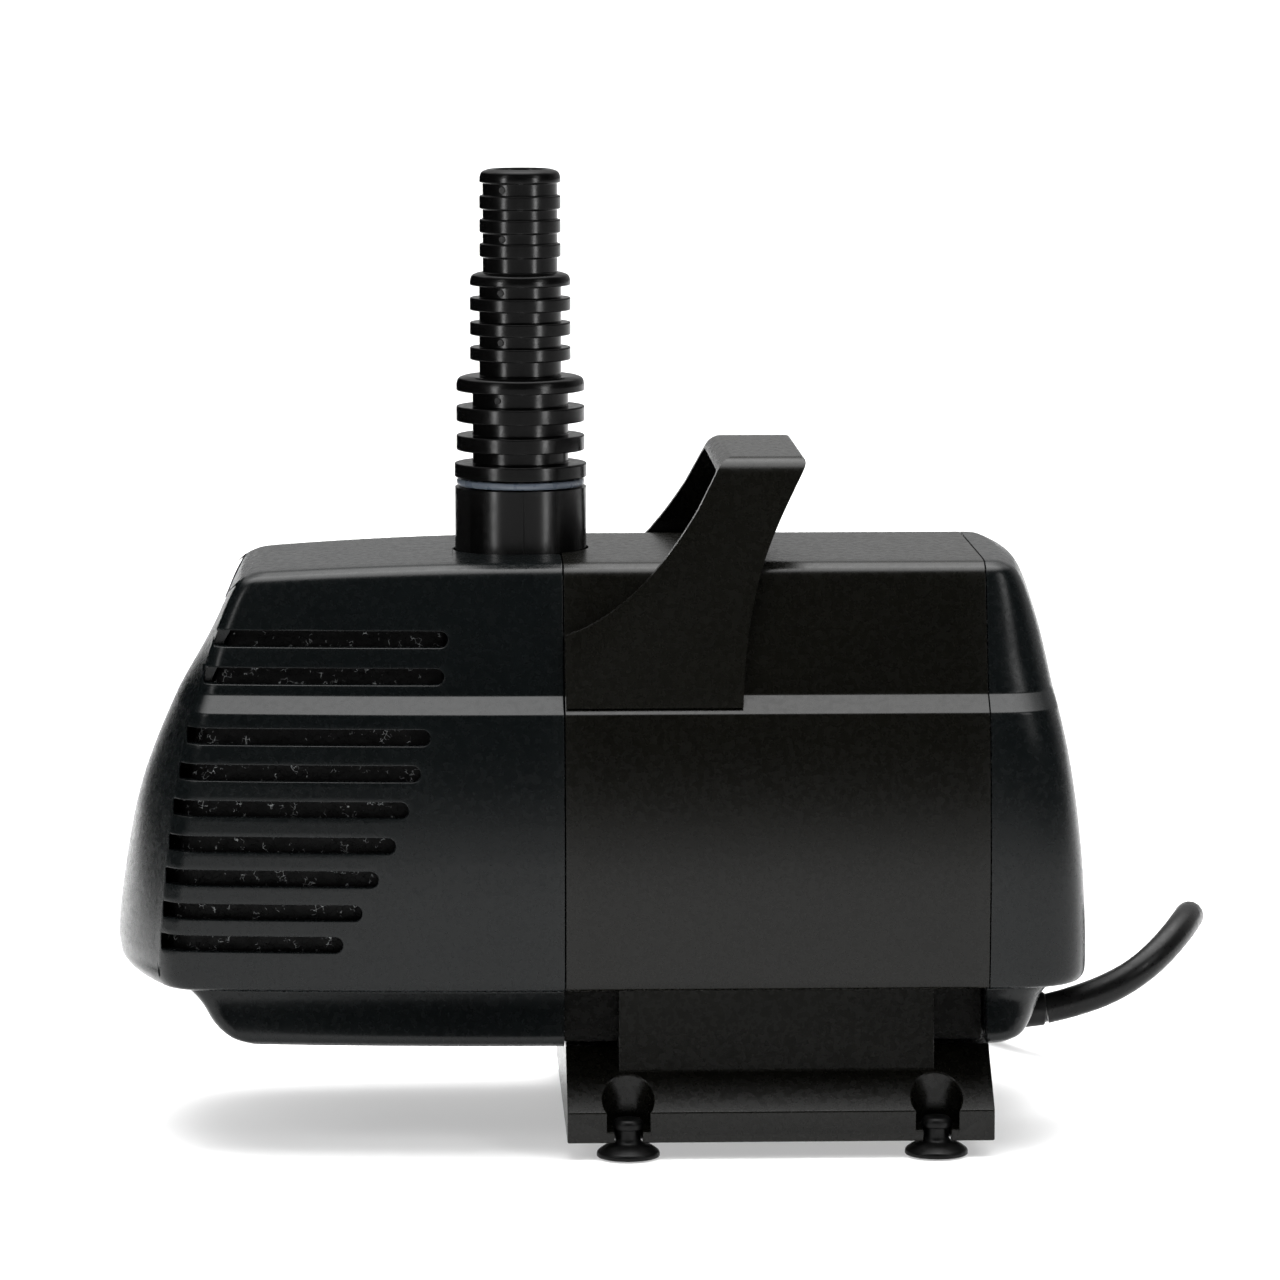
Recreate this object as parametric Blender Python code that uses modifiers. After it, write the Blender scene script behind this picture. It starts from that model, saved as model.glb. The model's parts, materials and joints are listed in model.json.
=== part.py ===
"""Fountain submersible pump, as an assembly of its separate pieces.

A slotted filter cage, a motor housing and a rear cap share one body outline. A carrying handle
bridges the housing, a foot with four suction cups carries it, and a stepped hose tail stands on
the outlet socket. Inside is a magnet-driven pump: rotor on a ceramic shaft, impeller in a volute,
laminated stator with two windings in a potted case. The mains cord leaves at the rear, loops back
behind the pump and is wound into a tied coil with its plug lying on it.

Frame: +Z up, X along the pump with the cage's nose at -X and the cord at +X, Y across. The origin
is under the middle of the pump, on the surface that it stands on. Sizes here are in millimetres,
and MM turns them into metres when a mesh is made.
"""
import math

import bmesh
import bpy
from mathutils import Matrix, Vector

MM = 0.001
GAP = 0.3  # left between pieces that touch

# Body: where the three shells meet, and how thick they are
SPLIT_FRONT, SPLIT_REAR = -9.5, 94.1
SHELL_WALL, HOUSING_WALL = 2.5, 3.0
BODY_TOP, BODY_BOTTOM = 143.5, 26.0
LEDGE_TOP = 112.5
FRONT_DROP = 2.7  # how far the top falls from the front split to the cage's front edge
DROP_LENGTH = 78.0
CORNER_SHARE = 0.885  # the cage's half-width at its front corners over that at the split
REAR_TAPER = 0.06
REAR_CORNER, REAR_CROWN = 13.0, 3.0
# Levels of the body, bottom to top: height, half-width, then X of the cage's front corner, of its
# nose and of the rear cap's back
LEVELS = (
    (BODY_BOTTOM, 44.5, -87.5, -88.6, 102.0),
    (27.4, 47.4, -91.0, -92.2, 105.6),
    (30.8, 48.8, -95.0, -96.4, 107.8),
    (36.0, 49.5, -97.8, -99.6, 110.0),
    (39.6, 50.2, -101.3, -104.0, 113.4),
    (40.8, 54.6, -104.6, -116.5, 118.8),
    (42.6, 55.7, -105.6, -119.0, 120.4),
    (45.8, 56.0, -105.6, -120.5, 120.6),
    (51.0, 56.4, -105.6, -120.6, 120.6),
    (68.0, 57.3, -104.4, -118.3, 119.8),
    (84.0, 57.0, -103.0, -115.2, 118.2),
    (98.0, 54.9, -101.1, -110.0, 116.0),
    (108.3, 52.0, -99.2, -105.3, 113.6),
    (LEDGE_TOP, 47.0, -97.8, -103.0, 112.6),
    (124.0, 43.4, -95.4, -96.9, 110.2),
    (131.0, 41.2, -93.2, -93.9, 108.2),
    (137.8, 39.0, -90.6, -91.2, 106.0),
    (141.9, 37.4, -88.2, -88.7, 103.8),
    (BODY_TOP, 34.0, -84.5, -85.0, 100.5),
)
WIDE_FROM = 40.8  # the level where the body steps out over the skirt
KEEL_HALF, KEEL_BOTTOM = 36.0, 25.0
SKIRT_WALL_TOP = 39.0

# Intake slots, top to bottom: middle height and X of the rear end. All are open at the corner.
SLOTS = ((125.7, -37.5), (116.9, -38.5), (103.0, -41.9), (94.4, -44.3), (85.7, -47.2),
         (77.1, -50.4), (68.9, -54.6), (60.6, -58.6), (52.7, -63.3))
SLOT_HEIGHT = 3.9
FOAM_INSET, FOAM_THICK, FOAM_REAR = 5.0, 9.0, -40.2

# Carrying handle
HANDLE_BOTTOM, HANDLE_TOP = 109.8, 169.0
HANDLE_FOOT_HALF, HANDLE_LEAN = 51.0, 0.314
HANDLE_WALL, HANDLE_ROUND = 2.8, 6.0
HANDLE_FOOT_X = (-9.0, 34.0)
HANDLE_GRIP_X = (30.2, 51.2)
HANDLE_SHOULDER = 127.0  # where the front sweep starts

# Foot and suction cups
BASE_X = (-9.0, 95.3)
BASE_HALF, BASE_LOW, BASE_EDGE_TOP = 57.0, 3.8, 11.3
BASE_TOP, BASE_TOP_HALF = 24.5, 40.0
RAIL_X, RAIL_HALF, RAIL_TOP = (3.9, 81.3), 46.0, 40.4
POCKET_X, POCKET_HALF, POCKET_TOP = (15.0, 71.0), 34.0, 20.0
CUP_X, CUP_Y = (5.9, 81.3), 53.5
CUP_RADIUS, CUP_STEM, CUP_KNOB, CUP_HEIGHT = 7.7, 3.0, 3.7, 9.3
NOTCH_RADIUS, NOTCH_SHELF, KEYHOLE_HALF = 6.25, 6.5, 3.4
BASE_SCREW_X, BASE_SCREW_Y = (24.0, 62.0), 20.0

# Outlet socket, gasket and stepped hose tail
OUTLET_X = -19.0
SOCKET_RADIUS, SOCKET_TOP, SOCKET_LOW, SOCKET_BORE = 16.4, 159.0, 131.5, 12.8
THROAT_BORE = 11.0
SPIGOT_RADIUS, SPIGOT_LOW = 12.4, 147.0
FLANGE = (161.5, 165.0, 16.5)
TAIL_TOP, TAIL_BORE, TAIL_WIDE_BORE = 238.0, 6.75, 9.0
# The tail's steps, bottom to top: ring radius, core radius, ring height, then ring middles
TAIL_STEPS = (
    (16.0, 11.95, 3.8, (170.1, 177.3, 184.9)),
    (12.55, 10.2, 3.2, (192.3, 198.5, 204.6, 210.8)),
    (10.1, 9.3, 3.3, (217.9, 223.9, 229.8, 236.3)),
)

# Pump end, all turned about the rotor's axis
AXIS_Z = 96.0
VOLUTE_X, VOLUTE_RADIUS, CHAMBER_RADIUS = (-33.0, -5.1), 33.0, 29.0
VOLUTE_BACK = 3.0
LUG_RADIUS, LUG_CIRCLE = 5.0, 36.0
COVER_X, INTAKE_RADIUS = (-36.3, -33.3), 14.0
BULKHEAD_X = (-2.2, 0.8)
IMPELLER_RADIUS, BLADES = 24.0, 6
MAGNET_X, MAGNET_RADIUS, MAGNET_BORE = (6.0, 44.0), 15.5, 4.3
SHAFT_X, SHAFT_RADIUS = (-31.6, 49.4), 2.0
WELL_RADIUS, WELL_WALL, WELL_END = 17.0, 2.0, 53.0
DOG_HALF_ANGLE = math.radians(28)

# Motor case and stator
CASE_X, CASE_HALF, CASE_Z, CASE_WALL = (0.8, 70.0), 38.0, (46.0, 128.0), 2.5
CORE_X = (12.0, 42.0)
LEG_Y, YOKE_Z, POLE_Z, POLE_HALF = (13.0, 25.0), (49.0, 59.0), (77.0, 112.0), 30.0
BOBBIN_Z = (59.4, 76.6)

# Mains cord
CORD_RADIUS = 3.75
GLAND_X, GLAND_Y, GLAND_Z = (97.0, 111.2), -20.0, 29.3
CHANNEL_RADIUS = 5.5  # open at its underside, for the gland and the lead
INNER_LEAD = ((72.4, 0.0, 76.3), (76.2, -1.2, 75.4), (79.6, -5.0, 68.0), (80.6, -11.0, 54.0),
              (82.0, -17.0, 40.0), (86.5, -19.8, 31.0), (91.5, -20.0, 29.3), (96.6, -20.0, 29.3))
# Free stretch from the gland: up and round in a loop, then down to just clear of the coil's
# outer turn, which the cord joins
CORD_ROUTE = ((112.6, -20.0, 29.6), (118.5, -20.0, 30.9), (126.0, -19.7, 33.2),
              (134.0, -17.8, 37.1), (141.6, -12.4, 42.3), (147.3, -3.5, 46.6),
              (151.0, 7.3, 48.2), (152.6, 18.8, 46.2), (151.8, 29.8, 40.6),
              (148.2, 39.2, 33.0), (142.2, 47.0, 25.5), (134.3, 54.5, 19.5),
              (125.0, 63.0, 14.6), (116.4, 74.0, 10.2), (110.2, 86.5, 7.2), (108.7, 92.0, 6.3))
COIL_CENTRE = (56.75, 114.0)
COIL_INNER, COIL_OUTER = 37.25, 52.25
COIL_LOW, COIL_LAYERS = 1.4, 3
PLUG_END_X, PLUG_Y = 44.0, 155.0  # where the cord goes into the plug
PLUG_LENGTH, PLUG_HALF, PLUG_THICK = 34.0, 12.5, 19.0

COLOURS = {
    "cage_plastic": ((0.012, 0.015, 0.017, 1.0), 0.5, 0.0),
    "housing_plastic": ((0.017, 0.017, 0.014, 1.0), 0.5, 0.0),
    "tail_plastic": ((0.010, 0.010, 0.010, 1.0), 0.35, 0.0),
    "gasket_silicone": ((0.11, 0.13, 0.16, 1.0), 0.3, 0.0),
    "foam": ((0.006, 0.006, 0.006, 1.0), 0.95, 0.0),
    "black_rubber": ((0.010, 0.010, 0.010, 1.0), 0.7, 0.0),
    "impeller_plastic": ((0.62, 0.62, 0.58, 1.0), 0.4, 0.0),
    "ferrite": ((0.03, 0.03, 0.03, 1.0), 0.55, 0.2),
    "ceramic": ((0.85, 0.84, 0.80, 1.0), 0.25, 0.0),
    "carbon": ((0.05, 0.05, 0.05, 1.0), 0.45, 0.0),
    "lamination": ((0.30, 0.31, 0.33, 1.0), 0.4, 1.0),
    "bobbin": ((0.70, 0.68, 0.60, 1.0), 0.5, 0.0),
    "copper": ((0.55, 0.22, 0.08, 1.0), 0.35, 1.0),
    "resin": ((0.02, 0.02, 0.022, 1.0), 0.3, 0.0),
    "stainless": ((0.55, 0.55, 0.56, 1.0), 0.3, 1.0),
    "brass": ((0.75, 0.58, 0.28, 1.0), 0.3, 1.0),
    "cord_pvc": ((0.012, 0.012, 0.012, 1.0), 0.45, 0.0),
    "tie": ((0.02, 0.02, 0.02, 1.0), 0.5, 0.0),
}


# ---------------------------------------------------------------- scene and mesh helpers

def clear_scene():
    for obj in list(bpy.data.objects):
        bpy.data.objects.remove(obj, do_unlink=True)


def collection(name):
    made = bpy.data.collections.new(name)
    bpy.context.scene.collection.children.link(made)
    return made


def material(name):
    found = bpy.data.materials.get(name)
    if found:
        return found
    colour, roughness, metallic = COLOURS[name]
    made = bpy.data.materials.new(name)
    made.use_nodes = True
    shader = made.node_tree.nodes["Principled BSDF"]
    shader.inputs["Base Color"].default_value = colour
    shader.inputs["Roughness"].default_value = roughness
    shader.inputs["Metallic"].default_value = metallic
    return made


def add_part(name, mesh, finish, smooth_angle=35):
    """An object of the pump; its mesh is in place already, or is placed by the caller."""
    obj = bpy.data.objects.new(name, mesh)
    PUMP.objects.link(obj)
    mesh.materials.append(material(finish))
    mesh.shade_smooth()
    mesh.set_sharp_from_angle(angle=math.radians(smooth_angle))
    return obj


def add_tool(name, mesh):
    """A cutter, or a shape that is joined to a part."""
    obj = bpy.data.objects.new(name, mesh)
    CUTTERS.objects.link(obj)
    obj.hide_render = True
    obj.display_type = "WIRE"
    return obj


def combine(part, tool, operation):
    made = part.modifiers.new(tool.name, "BOOLEAN")
    made.operation = operation
    made.object = tool
    made.solver = "EXACT"


def cut(part, tool):
    combine(part, tool, "DIFFERENCE")


def join(part, tool):
    combine(part, tool, "UNION")


def to_mesh(name, build):
    """The mesh that build fills, with its faces turned outwards."""
    bm = bmesh.new()
    build(bm)
    bmesh.ops.recalc_face_normals(bm, faces=bm.faces)
    mesh = bpy.data.meshes.new(name)
    bm.to_mesh(mesh)
    bm.free()
    return mesh


def boxes_mesh(name, boxes):
    """One mesh of separate boxes, each given by its low and high corner."""
    def build(bm):
        for low, high in boxes:
            size = [h - l for l, h in zip(low, high)]
            middle = [(h + l) / 2 * MM for l, h in zip(low, high)]
            place = Matrix.Translation(middle) @ Matrix.Diagonal([s * MM for s in size] + [1])
            bmesh.ops.create_cube(bm, size=1, matrix=place)
    return to_mesh(name, build)


def rods_mesh(name, rods, segments=24):
    """One mesh of cylinders along one axis: each is (axis letter, low, high, radius, a, b), where
    a and b are the other two coordinates of its centre in X, Y, Z order."""
    turns = {"X": Matrix.Rotation(math.pi / 2, 4, "Y"), "Y": Matrix.Rotation(math.pi / 2, 4, "X"),
             "Z": Matrix.Identity(4)}
    order = {"X": (2, 0, 1), "Y": (0, 2, 1), "Z": (0, 1, 2)}

    def build(bm):
        for axis, low, high, radius, a, b in rods:
            middle = (low + high) / 2
            values = (a, b, middle)
            centre = [values[i] * MM for i in order[axis]]
            bmesh.ops.create_cone(
                bm, cap_ends=True, segments=segments, radius1=radius * MM, radius2=radius * MM,
                depth=(high - low) * MM, matrix=Matrix.Translation(centre) @ turns[axis])
    return to_mesh(name, build)


def prism_mesh(name, outline, low, high, along):
    """A flat outline extruded along X (outline in Y, Z) or along Y (outline in X, Z)."""
    def point(a, b, depth):
        place = (depth, a, b) if along == "X" else (a, depth, b)
        return Vector(place) * MM

    def build(bm):
        ends = [[bm.verts.new(point(a, b, depth)) for a, b in outline] for depth in (low, high)]
        count = len(outline)
        for end in ends:
            bm.faces.new(end)
        for i in range(count):
            j = (i + 1) % count
            bm.faces.new((ends[0][i], ends[0][j], ends[1][j], ends[1][i]))
    return to_mesh(name, build)


def turned(name, profile, finish, origin, axis="Z", ring=False, steps=24):
    """A profile of (radius, height) turned about Z or X. It runs down the outer side; a ring's
    profile closes on itself, and any other starts and ends on the axis."""
    mesh = bpy.data.meshes.new(name)
    points = [(radius * MM, 0, height * MM) for radius, height in profile]
    edges = [(i, i + 1) for i in range(len(points) - 1)]
    if ring:
        edges.append((len(points) - 1, 0))
    mesh.from_pydata(points, edges, [])
    obj = bpy.data.objects.new(name, mesh)
    PUMP.objects.link(obj)
    mesh.materials.append(material(finish))
    obj.location = Vector(origin) * MM
    if axis == "X":
        obj.rotation_euler = (0, math.pi / 2, 0)
    screw = obj.modifiers.new("turn", "SCREW")
    screw.steps = steps
    screw.render_steps = steps
    screw.use_merge_vertices = True
    screw.merge_threshold = 0.000001
    screw.use_smooth_shade = True
    return obj


def tube(outer, inner, low, high):
    """The profile of a plain tube."""
    return [(inner, high), (outer, high), (outer, low), (inner, low)]


def rod(radius, low, high):
    return [(0, high), (radius, high), (radius, low), (0, low)]


# ---------------------------------------------------------------- body outline

def front_half(level, inset=0.0, start=SPLIT_FRONT):
    """Half of the cage's outline at one level, from the split to the middle of the nose."""
    _, side, corner_x, nose_x, _ = level
    side, corner_x, nose_x = side - inset, corner_x + inset, nose_x + inset
    corner_y = side * CORNER_SHARE
    length = SPLIT_FRONT - corner_x
    first = (SPLIT_FRONT - start) / length

    def on_side(t):
        return start + (corner_x - start) * (t - first) / (1 - first), side - (side - corner_y) * t * t

    def on_nose(share):
        return nose_x + (corner_x - nose_x) * share ** 2, corner_y * share

    sides = [on_side(first + (0.955 - first) * t) for t in (0, 0.35, 0.7, 1)]
    nose = [on_nose(share) for share in (0.92, 0.7, 0.45, 0.22, 0)]
    before, after = sides[-1], nose[0]
    corner = ((before[0] + after[0] + 2 * corner_x) / 4, (before[1] + after[1] + 2 * corner_y) / 4)
    return sides + [corner] + nose


def rear_half(level):
    """Half of the rear cap's outline at one level, from the split to the middle of its back."""
    _, side, _, _, rear_x = level
    length = rear_x - REAR_CROWN - SPLIT_REAR
    radius = min(REAR_CORNER, length - 0.8)
    corner = (SPLIT_REAR + length, side - REAR_TAPER * length)
    before = (corner[0] - radius, corner[1] + REAR_TAPER * radius)
    share = 1 - radius / corner[1]
    after = (rear_x - REAR_CROWN * share ** 2, corner[1] * share)
    rounded = []
    for t in (0.0, 0.25, 0.5, 0.75, 1.0):
        weights = ((1 - t) ** 2, 2 * t * (1 - t), t * t)
        rounded.append(tuple(sum(w * p[k] for w, p in zip(weights, (before, corner, after)))
                             for k in (0, 1)))
    middle = (rear_x - REAR_CROWN * (share / 2) ** 2, corner[1] * share / 2)
    return [(SPLIT_REAR, side)] + rounded + [middle, (rear_x, 0.0)]


def top_drop(x, z):
    """How much lower the body's upper part is at the front than at the split."""
    if x > SPLIT_FRONT or z <= LEDGE_TOP:
        return 0.0
    along = (SPLIT_FRONT - x) / DROP_LENGTH
    return FRONT_DROP * along ** 2 * (z - LEDGE_TOP) / (BODY_TOP - LEDGE_TOP)


def shell_mesh(name, rows):
    """The open surface through rows of half outlines: (height, half outline) bottom to top."""
    def build(bm):
        lines = []
        for z, half in rows:
            points = half + [(x, -y) for x, y in reversed(half[:-1])]
            lines.append([bm.verts.new(Vector((x, y, z - top_drop(x, z))) * MM) for x, y in points])
        for low, high in zip(lines, lines[1:]):
            for i in range(len(low) - 1):
                bm.faces.new((low[i], low[i + 1], high[i + 1], high[i]))
        for line in (lines[0], lines[-1]):
            last = len(line) - 1
            for i in range(last // 2 - 1):
                bm.faces.new((line[i], line[i + 1], line[last - i - 1], line[last - i]))
            middle = last // 2
            bm.faces.new((line[middle - 1], line[middle], line[middle + 1]))
    return to_mesh(name, build)


def face_out(mesh):
    """Turns an open shell's faces away from the middle of the body."""
    middle = sum((v.co for v in mesh.vertices), Vector()) / len(mesh.vertices)
    facing = sum((f.center - middle).dot(f.normal) * f.area for f in mesh.polygons)
    if facing < 0:
        mesh.flip_normals()


def thicken(obj, wall):
    made = obj.modifiers.new("wall", "SOLIDIFY")
    made.thickness = wall * MM
    made.offset = -1
    made.use_even_offset = True


def skirt_walls(x_low, x_high):
    """The two small walls that close a skirt beside the keel."""
    return [((x_low, y0, BODY_BOTTOM + 1.5), (x_high, y1, SKIRT_WALL_TOP))
            for y0, y1 in ((-46.3, -KEEL_HALF + 1), (KEEL_HALF - 1, 46.3))]


# ---------------------------------------------------------------- shells

def slot_cutters():
    """Flat-ended slots with a round rear end, cut through both side walls up to the corners."""
    def build(bm):
        for z, rear in SLOTS:
            level = level_at(z)
            front, inner = level[2] + 1.3, level[1] * CORNER_SHARE - 4.2
            half = SLOT_HEIGHT / 2
            arc = [(rear - half + half * math.sin(a), z - half * math.cos(a))
                   for a in (math.pi * i / 3 for i in range(4))]
            outline = [(front, z - half)] + arc + [(front, z + half)]
            for side in (1, -1):
                ends = [[bm.verts.new(Vector((x, side * y, h)) * MM) for x, h in outline]
                        for y in (inner, 70)]
                for end in ends:
                    bm.faces.new(end)
                for i in range(len(outline)):
                    j = (i + 1) % len(outline)
                    bm.faces.new((ends[0][i], ends[0][j], ends[1][j], ends[1][i]))
    return to_mesh("slot_cutters", build)


def level_at(z):
    """The body's sizes at any height, between two levels."""
    for low, high in zip(LEVELS, LEVELS[1:]):
        if low[0] <= z <= high[0]:
            share = (z - low[0]) / (high[0] - low[0])
            return tuple(a + (b - a) * share for a, b in zip(low, high))
    return LEVELS[-1]


def front_cage():
    mesh = shell_mesh("front_cage", [(level[0], front_half(level)) for level in LEVELS])
    face_out(mesh)
    cage = add_part("front_cage", mesh, "cage_plastic")
    thicken(cage, SHELL_WALL)
    join(cage, add_tool("cage_skirt_walls", boxes_mesh(
        "cage_skirt_walls", skirt_walls(SPLIT_FRONT - SHELL_WALL, SPLIT_FRONT - 0.2))))
    cut(cage, add_tool("slot_cutters", slot_cutters()))
    reach = SOCKET_RADIUS + 0.5
    cut(cage, add_tool("socket_notch_round", rods_mesh(
        "socket_notch_round", [("Z", 130, 150, reach, OUTLET_X, 0)], segments=32)))
    cut(cage, add_tool("socket_notch_open", boxes_mesh(
        "socket_notch_open", [((OUTLET_X, -reach, 130), (SPLIT_FRONT + 2, reach, 150))])))


def filter_foam():
    """A foam liner inside the cage, open towards the pump."""
    rows = []
    for level in LEVELS:
        z = level[0]
        if z <= 42.6:
            z += FOAM_INSET
        elif z > LEDGE_TOP:
            z -= FOAM_INSET * (z - LEDGE_TOP) / (BODY_TOP - LEDGE_TOP)
        rows.append((z, front_half(level, FOAM_INSET, start=FOAM_REAR)))
    rows = [rows[i] for i in (1, 4, 5, 8, 10, 12, 13, 14, 16, 17)]
    mesh = shell_mesh("filter_foam", rows)
    face_out(mesh)
    foam = add_part("filter_foam", mesh, "foam")
    thicken(foam, FOAM_THICK)


def housing_half():
    """Half of the housing's section, from under the keel to the top."""
    wide = [(side, z) for z, side, *_ in LEVELS if z >= WIDE_FROM]
    return [(0.0, KEEL_BOTTOM), (KEEL_HALF, KEEL_BOTTOM), (KEEL_HALF, WIDE_FROM)] + wide + [
        (0.0, BODY_TOP)]


def motor_housing():
    half = housing_half()
    loop = half + [(-y, z) for y, z in reversed(half[1:-1])]
    ends = (SPLIT_FRONT + GAP, SPLIT_REAR - GAP)

    def build(bm):
        rings = [[bm.verts.new(Vector((x, y, z)) * MM) for y, z in loop] for x in ends]
        for i in range(len(loop)):
            j = (i + 1) % len(loop)
            bm.faces.new((rings[0][i], rings[0][j], rings[1][j], rings[1][i]))
    mesh = to_mesh("motor_housing", build)
    face_out(mesh)
    housing = add_part("motor_housing", mesh, "housing_plastic")
    thicken(housing, HOUSING_WALL)
    cut(housing, add_tool("housing_socket_notch", rods_mesh(
        "housing_socket_notch", [("Z", 130, 150, SOCKET_RADIUS + 0.5, OUTLET_X, 0)], segments=32)))
    cord_channel(housing, 84, 96)
    cut(housing, add_tool("keel_screw_holes", rods_mesh("keel_screw_holes", [
        ("Z", 20, 32, 2.1, x, y) for x in BASE_SCREW_X for y in (-BASE_SCREW_Y, BASE_SCREW_Y)],
        segments=12)))


def rear_cap():
    mesh = shell_mesh("rear_cap", [(level[0], rear_half(level)) for level in LEVELS])
    face_out(mesh)
    cap = add_part("rear_cap", mesh, "cage_plastic")
    thicken(cap, SHELL_WALL)
    join(cap, add_tool("cap_skirt_walls", boxes_mesh(
        "cap_skirt_walls", skirt_walls(SPLIT_REAR + 0.2, SPLIT_REAR + SHELL_WALL))))
    cord_channel(cap, 92, 118)


def cord_channel(shell, low, high):
    rounded = rods_mesh("channel_round", [("X", low, high, CHANNEL_RADIUS, GLAND_Y, GLAND_Z)])
    open_side = boxes_mesh("channel_open", [
        ((low, GLAND_Y - CHANNEL_RADIUS, 20), (high, GLAND_Y + CHANNEL_RADIUS, GLAND_Z))])
    cut(shell, add_tool(f"{shell.name}_channel_round", rounded))
    cut(shell, add_tool(f"{shell.name}_channel_open", open_side))


def handle():
    """The arch across the housing, cut to its swept outline as seen from the side."""
    def outer(z):
        return HANDLE_FOOT_HALF - HANDLE_LEAN * (z - HANDLE_BOTTOM)

    def arch(half_of, top, bottom_z, rounding):
        lean = math.atan(HANDLE_LEAN)
        centre = (half_of(top - rounding) - rounding / math.cos(lean), top - rounding)
        arc = [(centre[0] + rounding * math.cos(a), centre[1] + rounding * math.sin(a))
               for a in (lean + (math.pi / 2 - lean) * i / 5 for i in range(6))]
        return [(half_of(bottom_z), bottom_z)] + arc

    foot_rise = 2.5
    outside = arch(outer, HANDLE_TOP, HANDLE_BOTTOM, HANDLE_ROUND)
    inside = arch(lambda z: outer(z) - HANDLE_WALL, HANDLE_TOP - 3.4, HANDLE_BOTTOM + foot_rise,
                  HANDLE_ROUND - 2.5)
    band = outside + [(-y, z) for y, z in reversed(outside)]
    band += [(-y, z) for y, z in inside] + list(reversed(inside))
    low, high = HANDLE_FOOT_X[0] - 1, HANDLE_GRIP_X[1] + 1
    grip = add_part("handle", prism_mesh("handle", band, low, high, "X"), "housing_plastic")

    front = swept((HANDLE_FOOT_X[0], HANDLE_SHOULDER), (9.0, 132.0), (23.3, 153.5),
                  (HANDLE_GRIP_X[0], HANDLE_TOP + 1), 10)
    rear = swept((HANDLE_GRIP_X[1], HANDLE_TOP + 1), (43.2, 153.0), (34.9, 141.0),
                 (HANDLE_FOOT_X[1], HANDLE_BOTTOM), 7)
    outline = [(HANDLE_FOOT_X[0], 100)] + front + rear + [(HANDLE_FOOT_X[1], 100)]
    combine(grip, add_tool("handle_outline", prism_mesh("handle_outline", outline, -70, 70, "Y")),
            "INTERSECT")


def swept(start, lead, trail, end, count):
    """Points along a cubic curve from start to end."""
    points = []
    for i in range(count + 1):
        t = i / count
        weights = ((1 - t) ** 3, 3 * t * (1 - t) ** 2, 3 * t * t * (1 - t), t ** 3)
        points.append(tuple(sum(w * p[k] for w, p in zip(weights, (start, lead, trail, end)))
                            for k in (0, 1)))
    return points


# ---------------------------------------------------------------- foot

def base_plate():
    half = [(BASE_HALF, BASE_LOW), (BASE_HALF, BASE_EDGE_TOP), (BASE_TOP_HALF, BASE_TOP)]
    outline = half + [(-y, z) for y, z in reversed(half)]
    plate = add_part("base_plate", prism_mesh("base_plate", outline, *BASE_X, "X"),
                     "housing_plastic", smooth_angle=20)
    rails = [((RAIL_X[0], y0, BASE_EDGE_TOP + 3), (RAIL_X[1], y1, RAIL_TOP))
             for y0, y1 in ((-RAIL_HALF, -KEEL_HALF - 0.4), (KEEL_HALF + 0.4, RAIL_HALF))]
    join(plate, add_tool("base_rails", boxes_mesh("base_rails", rails)))
    low, high = POCKET_X
    cut(plate, add_tool("base_pocket", boxes_mesh("base_pocket", [
        ((low, -POCKET_HALF, BASE_LOW - 2), (high, POCKET_HALF, POCKET_TOP))])))
    cut(plate, add_tool("base_screw_holes", rods_mesh("base_screw_holes", [
        ("Z", POCKET_TOP - 2, BASE_TOP + 2, 2.1, x, y)
        for x in BASE_SCREW_X for y in (-BASE_SCREW_Y, BASE_SCREW_Y)], segments=12)))
    wells, holes, mouths = [], [], []
    for x in CUP_X:
        for side in (-1, 1):
            wells.append(("Z", NOTCH_SHELF, BASE_TOP + 4, NOTCH_RADIUS, x, side * CUP_Y))
            holes.append(("Z", 0, NOTCH_SHELF + 1, KEYHOLE_HALF, x, side * CUP_Y))
            y0, y1 = sorted((side * CUP_Y, side * (BASE_HALF + 3)))
            mouths.append(((x - KEYHOLE_HALF, y0, 0), (x + KEYHOLE_HALF, y1, NOTCH_SHELF + 1)))
    cut(plate, add_tool("cup_wells", rods_mesh("cup_wells", wells)))
    cut(plate, add_tool("cup_holes", rods_mesh("cup_holes", holes, segments=16)))
    cut(plate, add_tool("cup_mouths", boxes_mesh("cup_mouths", mouths)))


def suction_cups():
    profile = [(0, CUP_HEIGHT), (CUP_KNOB - 0.6, CUP_HEIGHT), (CUP_KNOB, CUP_HEIGHT - 0.7),
               (CUP_KNOB, NOTCH_SHELF + GAP), (CUP_STEM, NOTCH_SHELF + GAP), (CUP_STEM, 3.4),
               (CUP_RADIUS - 2.2, 2.8), (CUP_RADIUS, 1.2), (CUP_RADIUS, 0), (0, 0)]
    names = ("front_left", "front_right", "rear_left", "rear_right")
    places = [(x, side * CUP_Y) for x in CUP_X for side in (-1, 1)]
    for name, (x, y) in zip(names, places):
        turned(f"suction_cup_{name}", profile, "black_rubber", (x, y, 0), steps=16)


def base_screws():
    profile = [(0, 30), (1.8, 30), (1.8, POCKET_TOP - GAP), (3.8, POCKET_TOP - GAP),
               (3.8, POCKET_TOP - 2), (3.0, POCKET_TOP - 3), (0, POCKET_TOP - 3)]
    number = 1
    for x in BASE_SCREW_X:
        for y in (-BASE_SCREW_Y, BASE_SCREW_Y):
            turned(f"base_screw_{number}", profile, "stainless", (x, y, 0), steps=10)
            number += 1


# ---------------------------------------------------------------- outlet

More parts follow.
